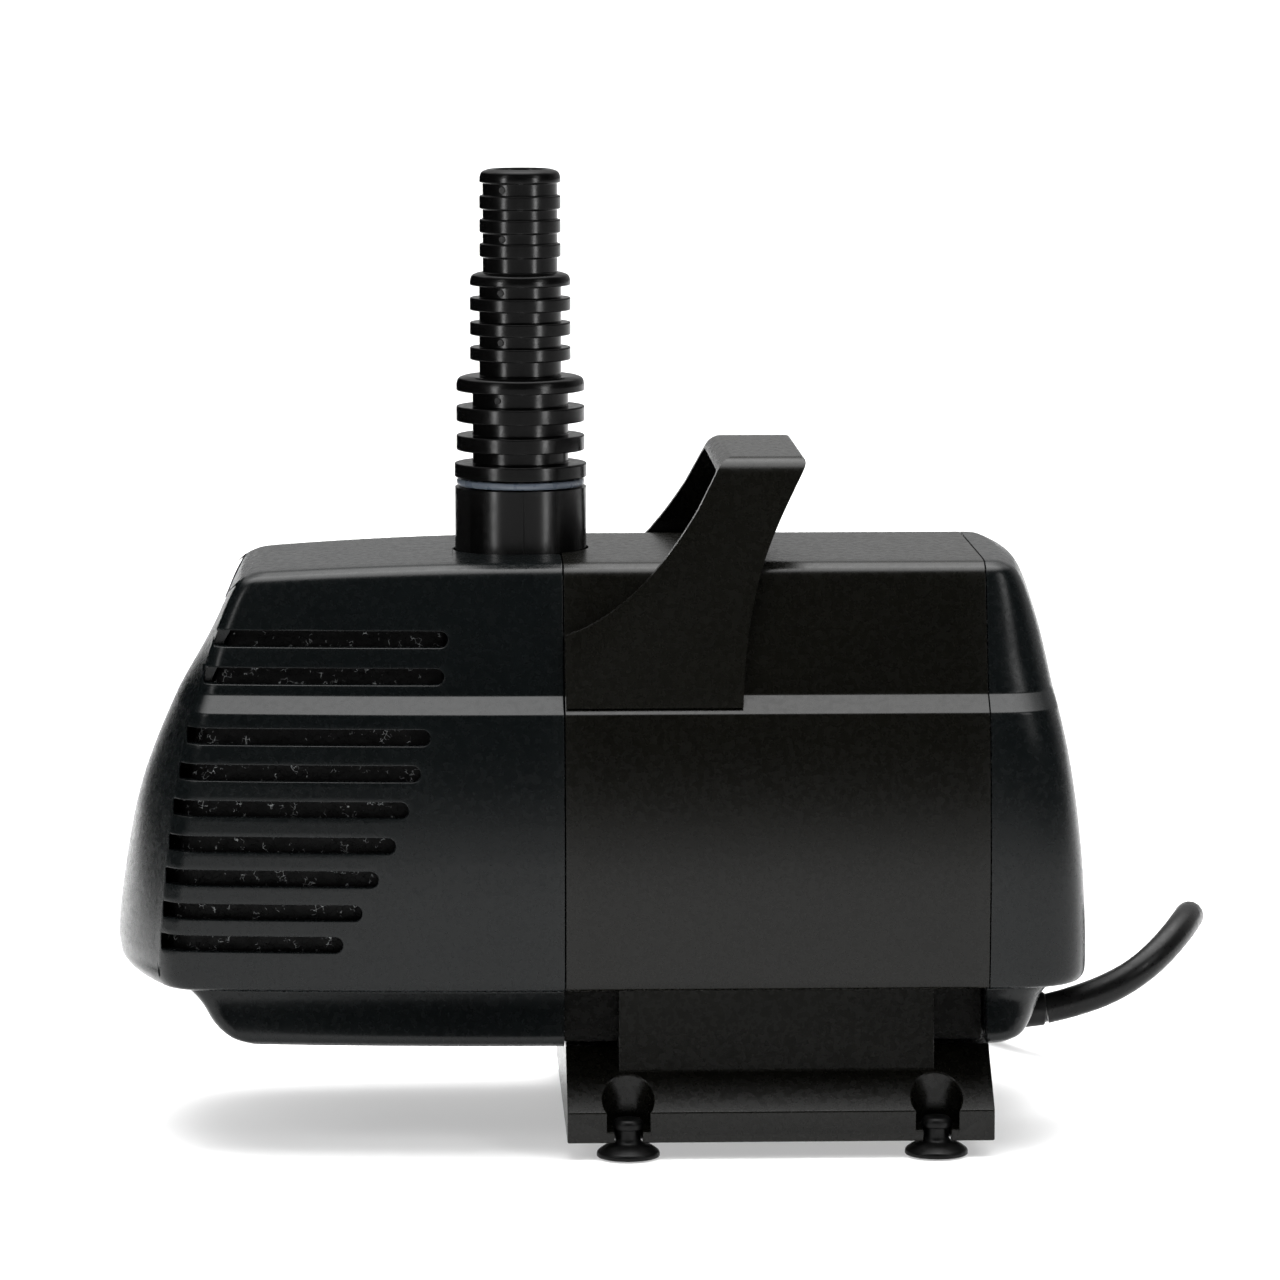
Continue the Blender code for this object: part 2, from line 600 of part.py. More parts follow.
def outlet_gasket():
    middle = (SOCKET_TOP + FLANGE[0]) / 2
    half = (FLANGE[0] - SOCKET_TOP) / 2 - GAP
    profile = [(12.9, middle + half), (15.2, middle + half), (15.75, middle + half * 0.5),
               (15.75, middle - half * 0.5), (15.2, middle - half), (12.9, middle - half)]
    turned("outlet_gasket", profile, "gasket_silicone", (OUTLET_X, 0, 0), ring=True)


def hose_adapter():
    """The hose tail in three steps; the top ring of each step has a rounded upper edge."""
    outside = []
    for ring, core, height, middles in reversed(TAIL_STEPS):
        for middle in reversed(middles):
            top, low = middle + height / 2, middle - height / 2
            if middle == middles[-1]:
                outside += [(ring - 2.0, top), (ring - 0.6, top - 0.7), (ring, top - 1.9)]
            else:
                outside += [(core, top), (ring, top)]
            outside += [(ring, low), (core, low)]
    outside[0] = (outside[0][0], TAIL_TOP)
    low, high, radius = FLANGE
    outside += [(TAIL_STEPS[0][1], high), (radius, high), (radius, low), (SPIGOT_RADIUS, low),
                (SPIGOT_RADIUS, SPIGOT_LOW)]
    bore = [(TAIL_WIDE_BORE, SPIGOT_LOW), (TAIL_WIDE_BORE, 184.0), (TAIL_BORE, 188.0),
            (TAIL_BORE, TAIL_TOP)]
    turned("hose_adapter", outside + bore, "tail_plastic", (OUTLET_X, 0, 0), ring=True, steps=20)


# ---------------------------------------------------------------- pump end

def lug_places():
    reach = LUG_CIRCLE / math.sqrt(2)
    return [(y, AXIS_Z + z) for y in (-reach, reach) for z in (-reach, reach)]


def volute():
    profile = rod(VOLUTE_RADIUS, *VOLUTE_X)
    body = turned("volute", profile, "tail_plastic", (0, 0, AXIS_Z), axis="X", steps=24)
    join(body, add_tool("volute_lugs", rods_mesh("volute_lugs", [
        ("X", *VOLUTE_X, LUG_RADIUS, y, z) for y, z in lug_places()], segments=12)))
    join(body, add_tool("volute_throat", boxes_mesh("volute_throat", [
        ((-32, -13.5, 105), (-6, 13.5, SOCKET_LOW + 2))])))
    join(body, add_tool("outlet_socket", rods_mesh("outlet_socket", [
        ("Z", SOCKET_LOW, SOCKET_TOP, SOCKET_RADIUS, OUTLET_X, 0)], segments=32)))
    low, high = VOLUTE_X
    cut(body, add_tool("chamber", rods_mesh("chamber", [
        ("X", low - 2, high - VOLUTE_BACK, CHAMBER_RADIUS, 0, AXIS_Z)])))
    cut(body, add_tool("rotor_opening", rods_mesh("rotor_opening", [
        ("X", high - VOLUTE_BACK - 2, high + 2, 14.5, 0, AXIS_Z)])))
    cut(body, add_tool("outlet_bore", rods_mesh("outlet_bore", [
        ("Z", 112, 146, THROAT_BORE, OUTLET_X, 0)])))
    cut(body, add_tool("socket_bore", rods_mesh("socket_bore", [
        ("Z", SPIGOT_LOW - 2, SOCKET_TOP + 3, SOCKET_BORE, OUTLET_X, 0)])))
    cut(body, add_tool("volute_screw_holes", rods_mesh("volute_screw_holes", [
        ("X", low - 2, high + 2, 2.2, y, z) for y, z in lug_places()], segments=8)))


def volute_cover():
    low, high = COVER_X
    cover = turned("volute_cover", rod(VOLUTE_RADIUS, low, high), "tail_plastic",
                   (0, 0, AXIS_Z), axis="X", steps=24)
    join(cover, add_tool("cover_lugs", rods_mesh("cover_lugs", [
        ("X", low, high, LUG_RADIUS, y, z) for y, z in lug_places()], segments=12)))
    cut(cover, add_tool("intake", rods_mesh("intake", [
        ("X", low - 2, high + 2, INTAKE_RADIUS, 0, AXIS_Z)])))
    cut(cover, add_tool("cover_screw_holes", rods_mesh("cover_screw_holes", [
        ("X", low - 2, high + 2, 2.2, y, z) for y, z in lug_places()], segments=8)))

    def spokes(bm):
        for angle in (math.pi / 2 + i * 2 * math.pi / 3 for i in range(3)):
            place = Matrix.Translation(Vector(((low + high) / 2, 0, AXIS_Z)) * MM)
            place = place @ Matrix.Rotation(angle, 4, "X") @ Matrix.Translation((0, 10.5 * MM, 0))
            size = Matrix.Diagonal(((high - low) * MM * 0.98, 10.5 * MM, 2.6 * MM, 1))
            bmesh.ops.create_cube(bm, size=1, matrix=place @ size)
    join(cover, add_tool("cover_spokes", to_mesh("cover_spokes", spokes)))
    join(cover, add_tool("cover_hub", rods_mesh("cover_hub", [
        ("X", low, -28.6, 6.6, 0, AXIS_Z)], segments=16)))
    cut(cover, add_tool("hub_bore", rods_mesh("hub_bore", [
        ("X", high, -26, 4.9, 0, AXIS_Z)], segments=16)))


def chamber_screws():
    low, high = COVER_X[0], BULKHEAD_X[0]
    profile = [(0, high - GAP), (1.8, high - GAP), (1.8, low - GAP), (3.6, low - GAP),
               (3.6, low - 2.0), (2.8, low - 2.8), (0, low - 2.8)]
    for number, (y, z) in enumerate(lug_places(), start=1):
        turned(f"chamber_screw_{number}", profile, "stainless", (0, y, z), axis="X", steps=10)


def chamber_seal():
    """The O-ring between the volute's back and the motor case's bulkhead."""
    middle = (VOLUTE_X[1] + BULKHEAD_X[0]) / 2
    radius = (BULKHEAD_X[0] - VOLUTE_X[1]) / 2 - 0.15
    profile = [(24 + radius * math.cos(a), middle - radius * math.sin(a))
               for a in (2 * math.pi * i / 8 for i in range(8))]
    turned("chamber_o_ring", profile, "black_rubber", (0, 0, AXIS_Z), axis="X", ring=True)


def sector(name, inner, outer, low, high, middle_angle):
    """A driving dog: a piece of a ring about the rotor's axis."""
    def point(radius, angle):
        return radius * math.sin(angle), AXIS_Z + radius * math.cos(angle)

    angles = [middle_angle - DOG_HALF_ANGLE + 2 * DOG_HALF_ANGLE * i / 4 for i in range(5)]
    outline = [point(outer, a) for a in angles] + [point(inner, a) for a in reversed(angles)]
    return add_tool(name, prism_mesh(name, outline, low, high, "X"))


def impeller():
    """Open-vane impeller whose sleeve carries a driving dog, loose by most of a turn."""
    profile = [(2.5, 5.5), (13, 5.5), (13, -3), (7, -3), (7, -12.4), (IMPELLER_RADIUS, -12.4),
               (IMPELLER_RADIUS, -14), (7, -14), (7, -26), (2.5, -26)]
    wheel = turned("impeller", profile, "impeller_plastic", (0, 0, AXIS_Z), axis="X",
                   ring=True)
    cut(wheel, add_tool("sleeve_bore", rods_mesh("sleeve_bore", [
        ("X", -0.2, 8, 10, 0, AXIS_Z)], segments=20)))
    join(wheel, sector("impeller_dog", 5, 10.6, -1, 4.8, 0.0))

    def blades(bm):
        centre = Matrix.Translation(Vector((-19.3, 0, AXIS_Z)) * MM)
        for i in range(BLADES):
            turn = Matrix.Rotation(2 * math.pi * i / BLADES, 4, "X")
            place = centre @ turn @ Matrix.Translation(Vector((0, 3.5, 14.0)) * MM)
            place = place @ Matrix.Rotation(math.radians(-22), 4, "X")
            size = Matrix.Diagonal((12.2 * MM, 1.8 * MM, 17.0 * MM, 1))
            bmesh.ops.create_cube(bm, size=1, matrix=place @ size)
    join(wheel, add_tool("impeller_blades", to_mesh("impeller_blades", blades)))


def rotor():
    low, high = MAGNET_X
    magnet = turned("rotor_magnet", tube(MAGNET_RADIUS, MAGNET_BORE, low, high), "ferrite",
                    (0, 0, AXIS_Z), axis="X", ring=True)
    join(magnet, sector("magnet_dog", 4.7, 9.4, 0.4, low + 1, math.pi))
    bearing = SHAFT_RADIUS + 0.07
    turned("front_bearing", tube(MAGNET_BORE - GAP, bearing, low + 0.2, low + 7), "carbon",
           (0, 0, AXIS_Z), axis="X", ring=True)
    turned("rear_bearing", tube(MAGNET_BORE - GAP, bearing, high - 7, high - 0.2), "carbon",
           (0, 0, AXIS_Z), axis="X", ring=True)
    turned("rotor_shaft", rod(SHAFT_RADIUS, *SHAFT_X), "ceramic", (0, 0, AXIS_Z), axis="X")


def shaft_mounts():
    """Rubber cups that hold the ends of the shaft in the cover's hub and in the rotor well."""
    hole = SHAFT_RADIUS + 0.2
    low, high = SHAFT_X
    front = [(0, low - GAP), (hole, low - GAP), (hole, low + 3), (4.6, low + 3),
             (4.6, low - 1.4), (0, low - 1.4)]
    rear = [(0, high + 1.3), (6.0, high + 1.3), (6.0, high - 3), (hole, high - 3),
            (hole, high + GAP), (0, high + GAP)]
    for name, profile in (("front_shaft_mount", front), ("rear_shaft_mount", rear)):
        turned(name, profile, "black_rubber", (0, 0, AXIS_Z), axis="X", steps=20)


# ---------------------------------------------------------------- motor

def motor_case():
    """Bulkhead, potting box and rotor well in one moulding; the box is open at the rear."""
    inset = HOUSING_WALL + 2.4
    low, high = BULKHEAD_X
    rim = [(side - inset, z) for z, side, *_ in LEVELS if 42.6 < z < 140]
    rim = [(rim[0][0], WIDE_FROM + inset)] + rim + [(rim[-1][0] - 3, BODY_TOP - inset)]
    outline = rim + [(-y, z) for y, z in reversed(rim)]
    case = add_part("motor_case", prism_mesh("motor_case", outline, low, high, "X"), "resin")
    box_low, box_high = CASE_Z
    box = add_tool("potting_box", boxes_mesh("potting_box", [
        ((low + 1, -CASE_HALF, box_low), (CASE_X[1], CASE_HALF, box_high))]))
    round_off(box, 7.0)
    hollow = add_tool("potting_hollow", boxes_mesh("potting_hollow", [
        ((high, -CASE_HALF + CASE_WALL, box_low + CASE_WALL),
         (CASE_X[1] + 12, CASE_HALF - CASE_WALL, box_high - CASE_WALL))]))
    round_off(hollow, 4.5)
    join(case, box)
    cut(case, hollow)
    join(case, add_tool("rotor_well", rods_mesh("rotor_well", [
        ("X", low, WELL_END, WELL_RADIUS + WELL_WALL, 0, AXIS_Z)], segments=32)))
    cut(case, add_tool("rotor_well_bore", rods_mesh("rotor_well_bore", [
        ("X", low - 2, WELL_END - WELL_WALL, WELL_RADIUS, 0, AXIS_Z)], segments=32)))


def round_off(obj, width):
    """Rounds the edges that run along X."""
    attribute = obj.data.attributes.new("bevel_weight_edge", "FLOAT", "EDGE")
    for edge in obj.data.edges:
        a, b = (obj.data.vertices[i].co for i in edge.vertices)
        attribute.data[edge.index].value = 1.0 if abs(a.x - b.x) > 0.01 else 0.0
    bevel = obj.modifiers.new("round", "BEVEL")
    bevel.width = width * MM
    bevel.segments = 3
    bevel.limit_method = "WEIGHT"


def potting_resin():
    low, high = CASE_Z
    inset = CASE_WALL + GAP
    resin = add_part("potting_resin", boxes_mesh("potting_resin", [
        ((WELL_END + 1, -CASE_HALF + inset, low + inset),
         (CASE_X[1] - 0.5, CASE_HALF - inset, high - inset))]), "resin")
    round_off(resin, 5.0)


def stator_core():
    """A laminated U: a yoke below, two legs and two pole shoes around the rotor well."""
    x0, x1 = CORE_X
    inner, outer = LEG_Y
    gap_half = 4.0
    core = add_part("stator_core", boxes_mesh("stator_core", [
        ((x0, -outer, YOKE_Z[0]), (x1, outer, YOKE_Z[1]))]), "lamination")
    legs = [((x0, *sorted((side * inner, side * outer))[:1], YOKE_Z[1] - 1),
             (x1, sorted((side * inner, side * outer))[1], POLE_Z[0] + 1)) for side in (-1, 1)]
    join(core, add_tool("core_legs", boxes_mesh("core_legs", legs)))
    shoes = [((x0, sorted((side * gap_half, side * POLE_HALF))[0], POLE_Z[0]),
              (x1, sorted((side * gap_half, side * POLE_HALF))[1], POLE_Z[1])) for side in (-1, 1)]
    join(core, add_tool("core_poles", boxes_mesh("core_poles", shoes)))
    cut(core, add_tool("core_bore", rods_mesh("core_bore", [
        ("X", x0 - 2, x1 + 2, WELL_RADIUS + WELL_WALL + 0.4, 0, AXIS_Z)], segments=32)))


def around_leg(side, grow, z0, z1):
    """A box around one leg of the core, grown by the same amount on all four sides."""
    y0, y1 = sorted((side * LEG_Y[0], side * LEG_Y[1]))
    return ((CORE_X[0] - grow, y0 - grow, z0), (CORE_X[1] + grow, y1 + grow, z1))


def windings():
    low, high = BOBBIN_Z
    flange = 1.4
    for side, name in ((-1, "left"), (1, "right")):
        bobbin = add_part(f"bobbin_{name}", boxes_mesh(f"bobbin_{name}", [
            around_leg(side, 1.5, low, high)]), "bobbin")
        flanges = [around_leg(side, 7.8, low, low + flange), around_leg(side, 7.8, high - flange, high)]
        join(bobbin, add_tool(f"bobbin_flanges_{name}", boxes_mesh(f"flanges_{name}", flanges)))
        cut(bobbin, add_tool(f"bobbin_hole_{name}", boxes_mesh(f"bobbin_hole_{name}", [
            around_leg(side, GAP, low - 3, high + 3)])))
        coil_low, coil_high = low + flange + GAP, high - flange - GAP
        coil = add_part(f"winding_{name}", boxes_mesh(f"winding_{name}", [
            around_leg(side, 7.0, coil_low, coil_high)]), "copper")
        cut(coil, add_tool(f"winding_hole_{name}", boxes_mesh(f"winding_hole_{name}", [
            around_leg(side, 1.8, coil_low - 3, coil_high + 3)])))


# ---------------------------------------------------------------- mains cord

def smooth(points, count):
    """Points at even steps along a smooth curve through the given ones."""
    ends = [2 * points[0] - points[1]] + list(points) + [2 * points[-1] - points[-2]]
    fine = []
    for i in range(1, len(ends) - 2):
        a, b, c, d = ends[i - 1:i + 3]
        for j in range(16):
            t = j / 16
            fine.append(((2 * b) + (c - a) * t + (2 * a - 5 * b + 4 * c - d) * t ** 2
                         + (3 * b - a - 3 * c + d) * t ** 3) / 2)
    fine.append(points[-1])
    lengths = [0.0]
    for a, b in zip(fine, fine[1:]):
        lengths.append(lengths[-1] + (b - a).length)
    even, k = [], 0
    for i in range(count):
        wanted = lengths[-1] * i / (count - 1)
        while k < len(lengths) - 2 and lengths[k + 1] < wanted:
            k += 1
        share = (wanted - lengths[k]) / (lengths[k + 1] - lengths[k])
        even.append(fine[k].lerp(fine[k + 1], share))
    return even


def cord_tube(name, points, finish="cord_pvc"):
    curve = bpy.data.curves.new(name, "CURVE")
    curve.dimensions = "3D"
    curve.bevel_depth = CORD_RADIUS * MM
    curve.bevel_resolution = 2
    curve.use_fill_caps = True
    spline = curve.splines.new("POLY")
    spline.points.add(len(points) - 1)
    for place, point in zip(spline.points, points):
        place.co = (*(point * MM), 1)
    curve.materials.append(material(finish))
    obj = bpy.data.objects.new(name, curve)
    PUMP.objects.link(obj)


def mains_cord():
    cord_tube("inner_lead", smooth([Vector(p) for p in INNER_LEAD], 9))
    gland = [(0, GLAND_X[1]), (4.3, GLAND_X[1]), (5.1, 106.5), (5.1, GLAND_X[0]),
             (0, GLAND_X[0])]
    turned("cord_gland", gland, "black_rubber", (0, GLAND_Y, GLAND_Z), axis="X", steps=16)
    centre_x, centre_y = COIL_CENTRE
    cord_tube("power_cord", smooth([Vector(p) for p in CORD_ROUTE], 17))
    height = COIL_LAYERS * 2 * CORD_RADIUS
    coil = tube(COIL_OUTER, COIL_INNER, COIL_LOW, COIL_LOW + height)
    turned("cord_coil", coil, "cord_pvc", (centre_x, centre_y, 0), ring=True, steps=32)
    coil_tie()


def coil_tie():
    """A flat band round the coil's section, on its -X side."""
    top = COIL_LOW + COIL_LAYERS * 2 * CORD_RADIUS
    wall, half = 1.05, 5.0
    x0, x1 = COIL_CENTRE[0] - COIL_OUTER, COIL_CENTRE[0] - COIL_INNER
    y = COIL_CENTRE[1]
    bulge = 0.4  # the coil curves away from the band's straight sides
    band = add_part("coil_tie", boxes_mesh("coil_tie", [
        ((x0 - GAP - wall, y - half, 0), (x1 + bulge + GAP + wall, y + half, top + GAP + wall))]),
        "tie")
    cut(band, add_tool("tie_hole", boxes_mesh("tie_hole", [
        ((x0 - GAP, y - half - 2, wall), (x1 + bulge + GAP, y + half + 2, top + GAP))])))


def mains_plug():
    """A moulded three-pin plug lying flat on the coil, its pins pointing to -X."""
    rest = COIL_LOW + COIL_LAYERS * 2 * CORD_RADIUS + GAP
    x1, x0 = PLUG_END_X, PLUG_END_X - PLUG_LENGTH
    body = add_part("plug_body", boxes_mesh("plug_body", [
        ((x0, PLUG_Y - PLUG_HALF, rest), (x1 - 8, PLUG_Y + PLUG_HALF, rest + PLUG_THICK))]),
        "black_rubber")
    round_off(body, 5.0)
    z = rest + PLUG_THICK / 2
    boot = rods_mesh("plug_boot", [("X", x1 - 9, x1 + 10, 5.4, PLUG_Y, z)], segments=16)
    join(body, add_tool("plug_boot", boot))
    pin_x = (x0 - 16.0, x0 - GAP)
    for name, side in (("left", -1), ("right", 1)):
        y = PLUG_Y + side * 6.35
        add_part(f"plug_blade_{name}", boxes_mesh(f"plug_blade_{name}", [
            ((pin_x[0], y - 0.75, z - 6.2), (pin_x[1], y + 0.75, z + 0.2))]), "brass")
    turned("plug_earth_pin", rod(2.4, pin_x[0] - 2, pin_x[1]), "brass",
           (0, PLUG_Y, z + 6.0), axis="X", steps=12)


clear_scene()
PUMP = collection("fountain_submersible_pump")
CUTTERS = collection("cutters")
front_cage()
filter_foam()
motor_housing()
rear_cap()
handle()
base_plate()
suction_cups()
base_screws()
outlet_gasket()
hose_adapter()
volute()
volute_cover()
chamber_screws()
chamber_seal()
impeller()
rotor()
shaft_mounts()
motor_case()
potting_resin()
stator_core()
windings()
mains_cord()
mains_plug()
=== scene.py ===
"""Fountain submersible pump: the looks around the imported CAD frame.

The outer CAD nodes are replaced by finer models of the same pieces, made here from the same sizes,
with fillets, moulding detail and procedural materials. The CAD nodes inside the pump stay, and get
such materials too. Sizes are in millimetres in the row's frame, and MM turns them into metres when
a mesh is made.
"""
import json
import math

import bmesh
import bpy
from mathutils import Matrix, Vector, noise


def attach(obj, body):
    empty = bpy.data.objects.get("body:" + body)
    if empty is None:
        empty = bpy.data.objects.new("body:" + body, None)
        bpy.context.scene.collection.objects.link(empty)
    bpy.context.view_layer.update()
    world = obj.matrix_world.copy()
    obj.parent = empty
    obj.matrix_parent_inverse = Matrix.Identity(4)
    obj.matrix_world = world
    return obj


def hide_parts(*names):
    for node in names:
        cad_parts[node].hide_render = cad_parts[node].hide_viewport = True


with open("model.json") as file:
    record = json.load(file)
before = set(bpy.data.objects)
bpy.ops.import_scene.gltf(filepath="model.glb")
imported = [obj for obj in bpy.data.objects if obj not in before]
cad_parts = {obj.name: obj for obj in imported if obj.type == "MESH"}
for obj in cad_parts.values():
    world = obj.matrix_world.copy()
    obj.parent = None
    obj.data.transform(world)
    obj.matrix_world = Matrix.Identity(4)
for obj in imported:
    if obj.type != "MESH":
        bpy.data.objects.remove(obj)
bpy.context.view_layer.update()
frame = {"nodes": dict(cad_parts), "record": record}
SCENE = bpy.context.scene
MM = 0.001
noise.seed_set(11)  # for the uneven surface of the foam

# ---------------------------------------------------------------- camera

CAMERA_PLACE = (-0.04515, -1.4661, 0.30597)
CAMERA_LENS, SENSOR_WIDTH = 165.97, 36.0
CAMERA_DOWN, CAMERA_TURN = 7.221, -2.186  # degrees below the horizon, and about Z

camera_data = bpy.data.cameras.new("camera")
camera_data.sensor_width, camera_data.lens = SENSOR_WIDTH, CAMERA_LENS
camera_data.clip_start, camera_data.clip_end = 0.05, 30.0
camera = bpy.data.objects.new("camera", camera_data)
SCENE.collection.objects.link(camera)
camera.location = CAMERA_PLACE
camera.rotation_euler = (math.radians(90 - CAMERA_DOWN), 0.0, math.radians(CAMERA_TURN))
SCENE.camera = camera

# ---------------------------------------------------------------- sizes

SPLIT_FRONT, SPLIT_REAR = -9.5, 94.1
SHELL_WALL, HOUSING_WALL = 2.5, 3.0
BODY_TOP, BODY_BOTTOM, LEDGE_TOP = 143.5, 26.0, 112.5
FRONT_DROP, DROP_LENGTH = 2.7, 78.0
CORNER_SHARE = 0.885
REAR_TAPER, REAR_CORNER, REAR_CROWN = 0.06, 13.0, 3.0
# Height, half-width, X of the cage's front corner, of its nose and of the rear cap's back, and how
# much of the way to its neighbours the bend at this level takes up
LEVELS = (
    (26.0, 46.8, -87.5, -88.6, 102.0, 0.5),
    (27.4, 49.6, -91.0, -92.2, 105.6, 0.5),
    (30.8, 48.9, -95.0, -96.4, 107.8, 0.5),
    (36.0, 47.3, -97.8, -99.6, 110.0, 0.5),
    (39.6, 46.8, -101.3, -104.0, 113.4, 0.12),
    (40.8, 54.6, -104.6, -116.5, 118.8, 0.4),
    (42.6, 55.7, -105.6, -119.0, 120.4, 0.5),
    (45.8, 56.0, -105.6, -120.5, 120.6, 0.5),
    (51.0, 56.4, -105.6, -120.6, 120.6, 0.5),
    (68.0, 57.3, -104.4, -118.3, 119.8, 0.5),
    (84.0, 56.4, -103.0, -115.2, 118.2, 0.5),
    (98.0, 54.5, -101.1, -110.0, 116.0, 0.5),
    (108.3, 52.0, -99.2, -105.3, 113.6, 0.06),
    (112.5, 47.0, -97.8, -103.0, 112.6, 0.06),
    (124.0, 43.4, -95.4, -96.9, 110.2, 0.5),
    (131.0, 41.2, -93.2, -93.9, 108.2, 0.5),
    (137.8, 39.0, -90.6, -91.2, 106.0, 0.5),
    (141.9, 37.4, -88.2, -88.7, 103.8, 0.4),
    (143.5, 34.0, -84.5, -85.0, 100.5, 0.25),
    (143.7, 29.0, -79.5, -80.2, 97.6, 0.5),
)
WIDE_FROM = 40.8
LEAN = 2.6  # of the keel's and the rails' sides
KEEL_HALF, KEEL_BOTTOM, SKIRT_WALL_TOP = 36.0, 25.0, 39.0
SLOTS = ((125.7, -37.5), (116.9, -38.5), (103.0, -41.9), (94.4, -44.3), (85.7, -47.2),
         (77.1, -50.4), (68.9, -54.6), (60.6, -58.6), (52.7, -63.3))
SLOT_HEIGHT = 3.9
SLOT_DEPTH = (14.0, 4.6)  # how far a slot reaches inwards past the corner, below and over the ledge
FOAM_INSET, FOAM_THICK, FOAM_REAR = 3.2, 9.0, -37.6
PANEL_STEP = 0.45  # how far the nose lies behind the edges of the two sides
PANEL_Z = (43.5, 142)  # where that step begins and ends
NOSE_POINTS = 13

HANDLE_BOTTOM, HANDLE_TOP = 109.8, 169.0
HANDLE_FOOT_HALF, HANDLE_LEAN = 51.0, 0.314
HANDLE_WALL, HANDLE_ROUND = 2.8, 6.0
# Curves of its front and rear edges in X, Z: an end, two control points and the other end
HANDLE_FRONT = ((-9.0, 127.0), (9.0, 132.0), (23.3, 153.5), (30.2, HANDLE_TOP))
HANDLE_REAR = ((51.2, HANDLE_TOP), (43.2, 153.0), (34.9, 141.0), (34.0, HANDLE_BOTTOM))

BASE_X = (-9.0, 95.3)
BASE_HALF, BASE_LOW, BASE_EDGE_TOP = 57.0, 3.8, 11.3
BASE_TOP, BASE_TOP_HALF = 24.5, 40.0
RAIL_X, RAIL_HALF, RAIL_TOP = (3.9, 81.3), 46.0, 40.4
POCKET_X, POCKET_HALF, POCKET_TOP = (15.0, 71.0), 34.0, 20.0
CUP_X, CUP_Y = (5.9, 81.3), 53.5
CUP_RADIUS, CUP_STEM, CUP_KNOB, CUP_HEIGHT = 7.7, 3.0, 3.7, 9.3
NOTCH_RADIUS, NOTCH_SHELF, KEYHOLE_HALF = 6.25, 6.5, 3.4
BASE_SCREW_X, BASE_SCREW_Y = (24.0, 62.0), 20.0

OUTLET_X = -19.0
SOCKET_RADIUS, SOCKET_TOP, SOCKET_LOW, SOCKET_BORE = 16.4, 159.0, 131.5, 12.8
THROAT_BORE = 11.0
SPIGOT_RADIUS, SPIGOT_LOW = 12.4, 147.0
FLANGE = (161.5, 165.0, 16.5)
TAIL_TOP, TAIL_BORE, TAIL_WIDE_BORE = 238.0, 6.75, 9.0
TAIL_STEPS = (
    (16.0, 11.95, 3.8, (170.1, 177.3, 184.9)),
    (12.55, 10.2, 3.2, (192.3, 198.5, 204.6, 210.8)),
    (10.1, 9.3, 3.3, (217.9, 223.9, 229.8, 236.3)),
)

MARK_TURN = math.radians(-119)

AXIS_Z = 96.0
CHAMBER_X, CHAMBER_RADIUS, CHAMBER_ROOM, CHAMBER_PORT = (-33.0, -5.1), 33.0, 29.0, 14.5
LUG_CIRCLE, LUG_RADIUS, LUG_BORE = 36.0, 5.0, 2.2
CORD_RADIUS = 3.75
GLAND_X, GLAND_Y, GLAND_Z = (97.0, 111.2), -20.0, 29.3
CHANNEL_RADIUS = 5.5
COIL_CENTRE = (56.75, 114.0)
COIL_TURNS = (48.5, 41.0)  # radius of the outer and the inner turns
COIL_LAYERS = (5.15, 12.65, 20.15)
PLUG_END_X, PLUG_Y, PLUG_Z = 44.0, 155.0, 33.7
PLUG_LENGTH, PLUG_HALF, PLUG_THICK = 34.0, 12.5, 19.0
BLADE_APART, BLADE_HALF, PIN_LENGTH = 6.35, 0.75, 16.0
CORD_ROUTE = (
    (111.5, -20.0, 29.3), (118.5, -20.0, 30.9), (126.0, -19.7, 33.2), (134.0, -17.8, 37.1),
    (141.6, -12.4, 42.3), (147.3, -3.5, 46.6), (151.0, 7.3, 48.2), (152.6, 18.8, 46.2),
    (151.8, 29.8, 40.6), (148.2, 39.2, 33.0), (142.2, 47.0, 25.5), (134.3, 54.5, 19.5),
    (125.0, 63.0, 14.6), (116.4, 74.0, 10.2), (110.2, 86.5, 7.2), (106.6, 99.5, 5.6))


# ---------------------------------------------------------------- materials

class Tree:
    """Short ways to add nodes to the tree of a material or a world."""

    def __init__(self, owner):
        owner.use_nodes = True
        self.nodes, self.links = owner.node_tree.nodes, owner.node_tree.links

    def add(self, kind, values, **settings):
        """A node with these settings, its inputs given as constants or as sockets to link."""
        node = self.nodes.new("ShaderNode" + kind)
        for key, value in settings.items():
            setattr(node, key, value)
        self.feed(node, values)
        return node

    def feed(self, node, values):
        for name, value in values.items():
            if isinstance(value, bpy.types.NodeSocket):
                self.links.new(value, node.inputs[name])
            else:
                node.inputs[name].default_value = value

    def noise(self, scale, detail=2.0, roughness=0.5, **place):
        values = {"Scale": scale, "Detail": detail, "Roughness": roughness}
        return self.add("TexNoise", {**place, **values})

    def ramp(self, value, low, high, start=0.0, end=1.0, **settings):
        """A value carried from the range low to high over to the range start to end."""
        return self.add("MapRange", {"Value": value, "From Min": low, "From Max": high,
                                     "To Min": start, "To Max": end}, **settings).outputs["Result"]

    def mix(self, factor, a, b, kind="RGBA"):
        return self.add("Mix", {"Factor": factor, "A": a, "B": b}, data_type=kind).outputs["Result"]


EDGE_POINTINESS = (0.515, 0.60)  # where an edge begins to look rubbed and to get its painted highlight, and where it is fully so
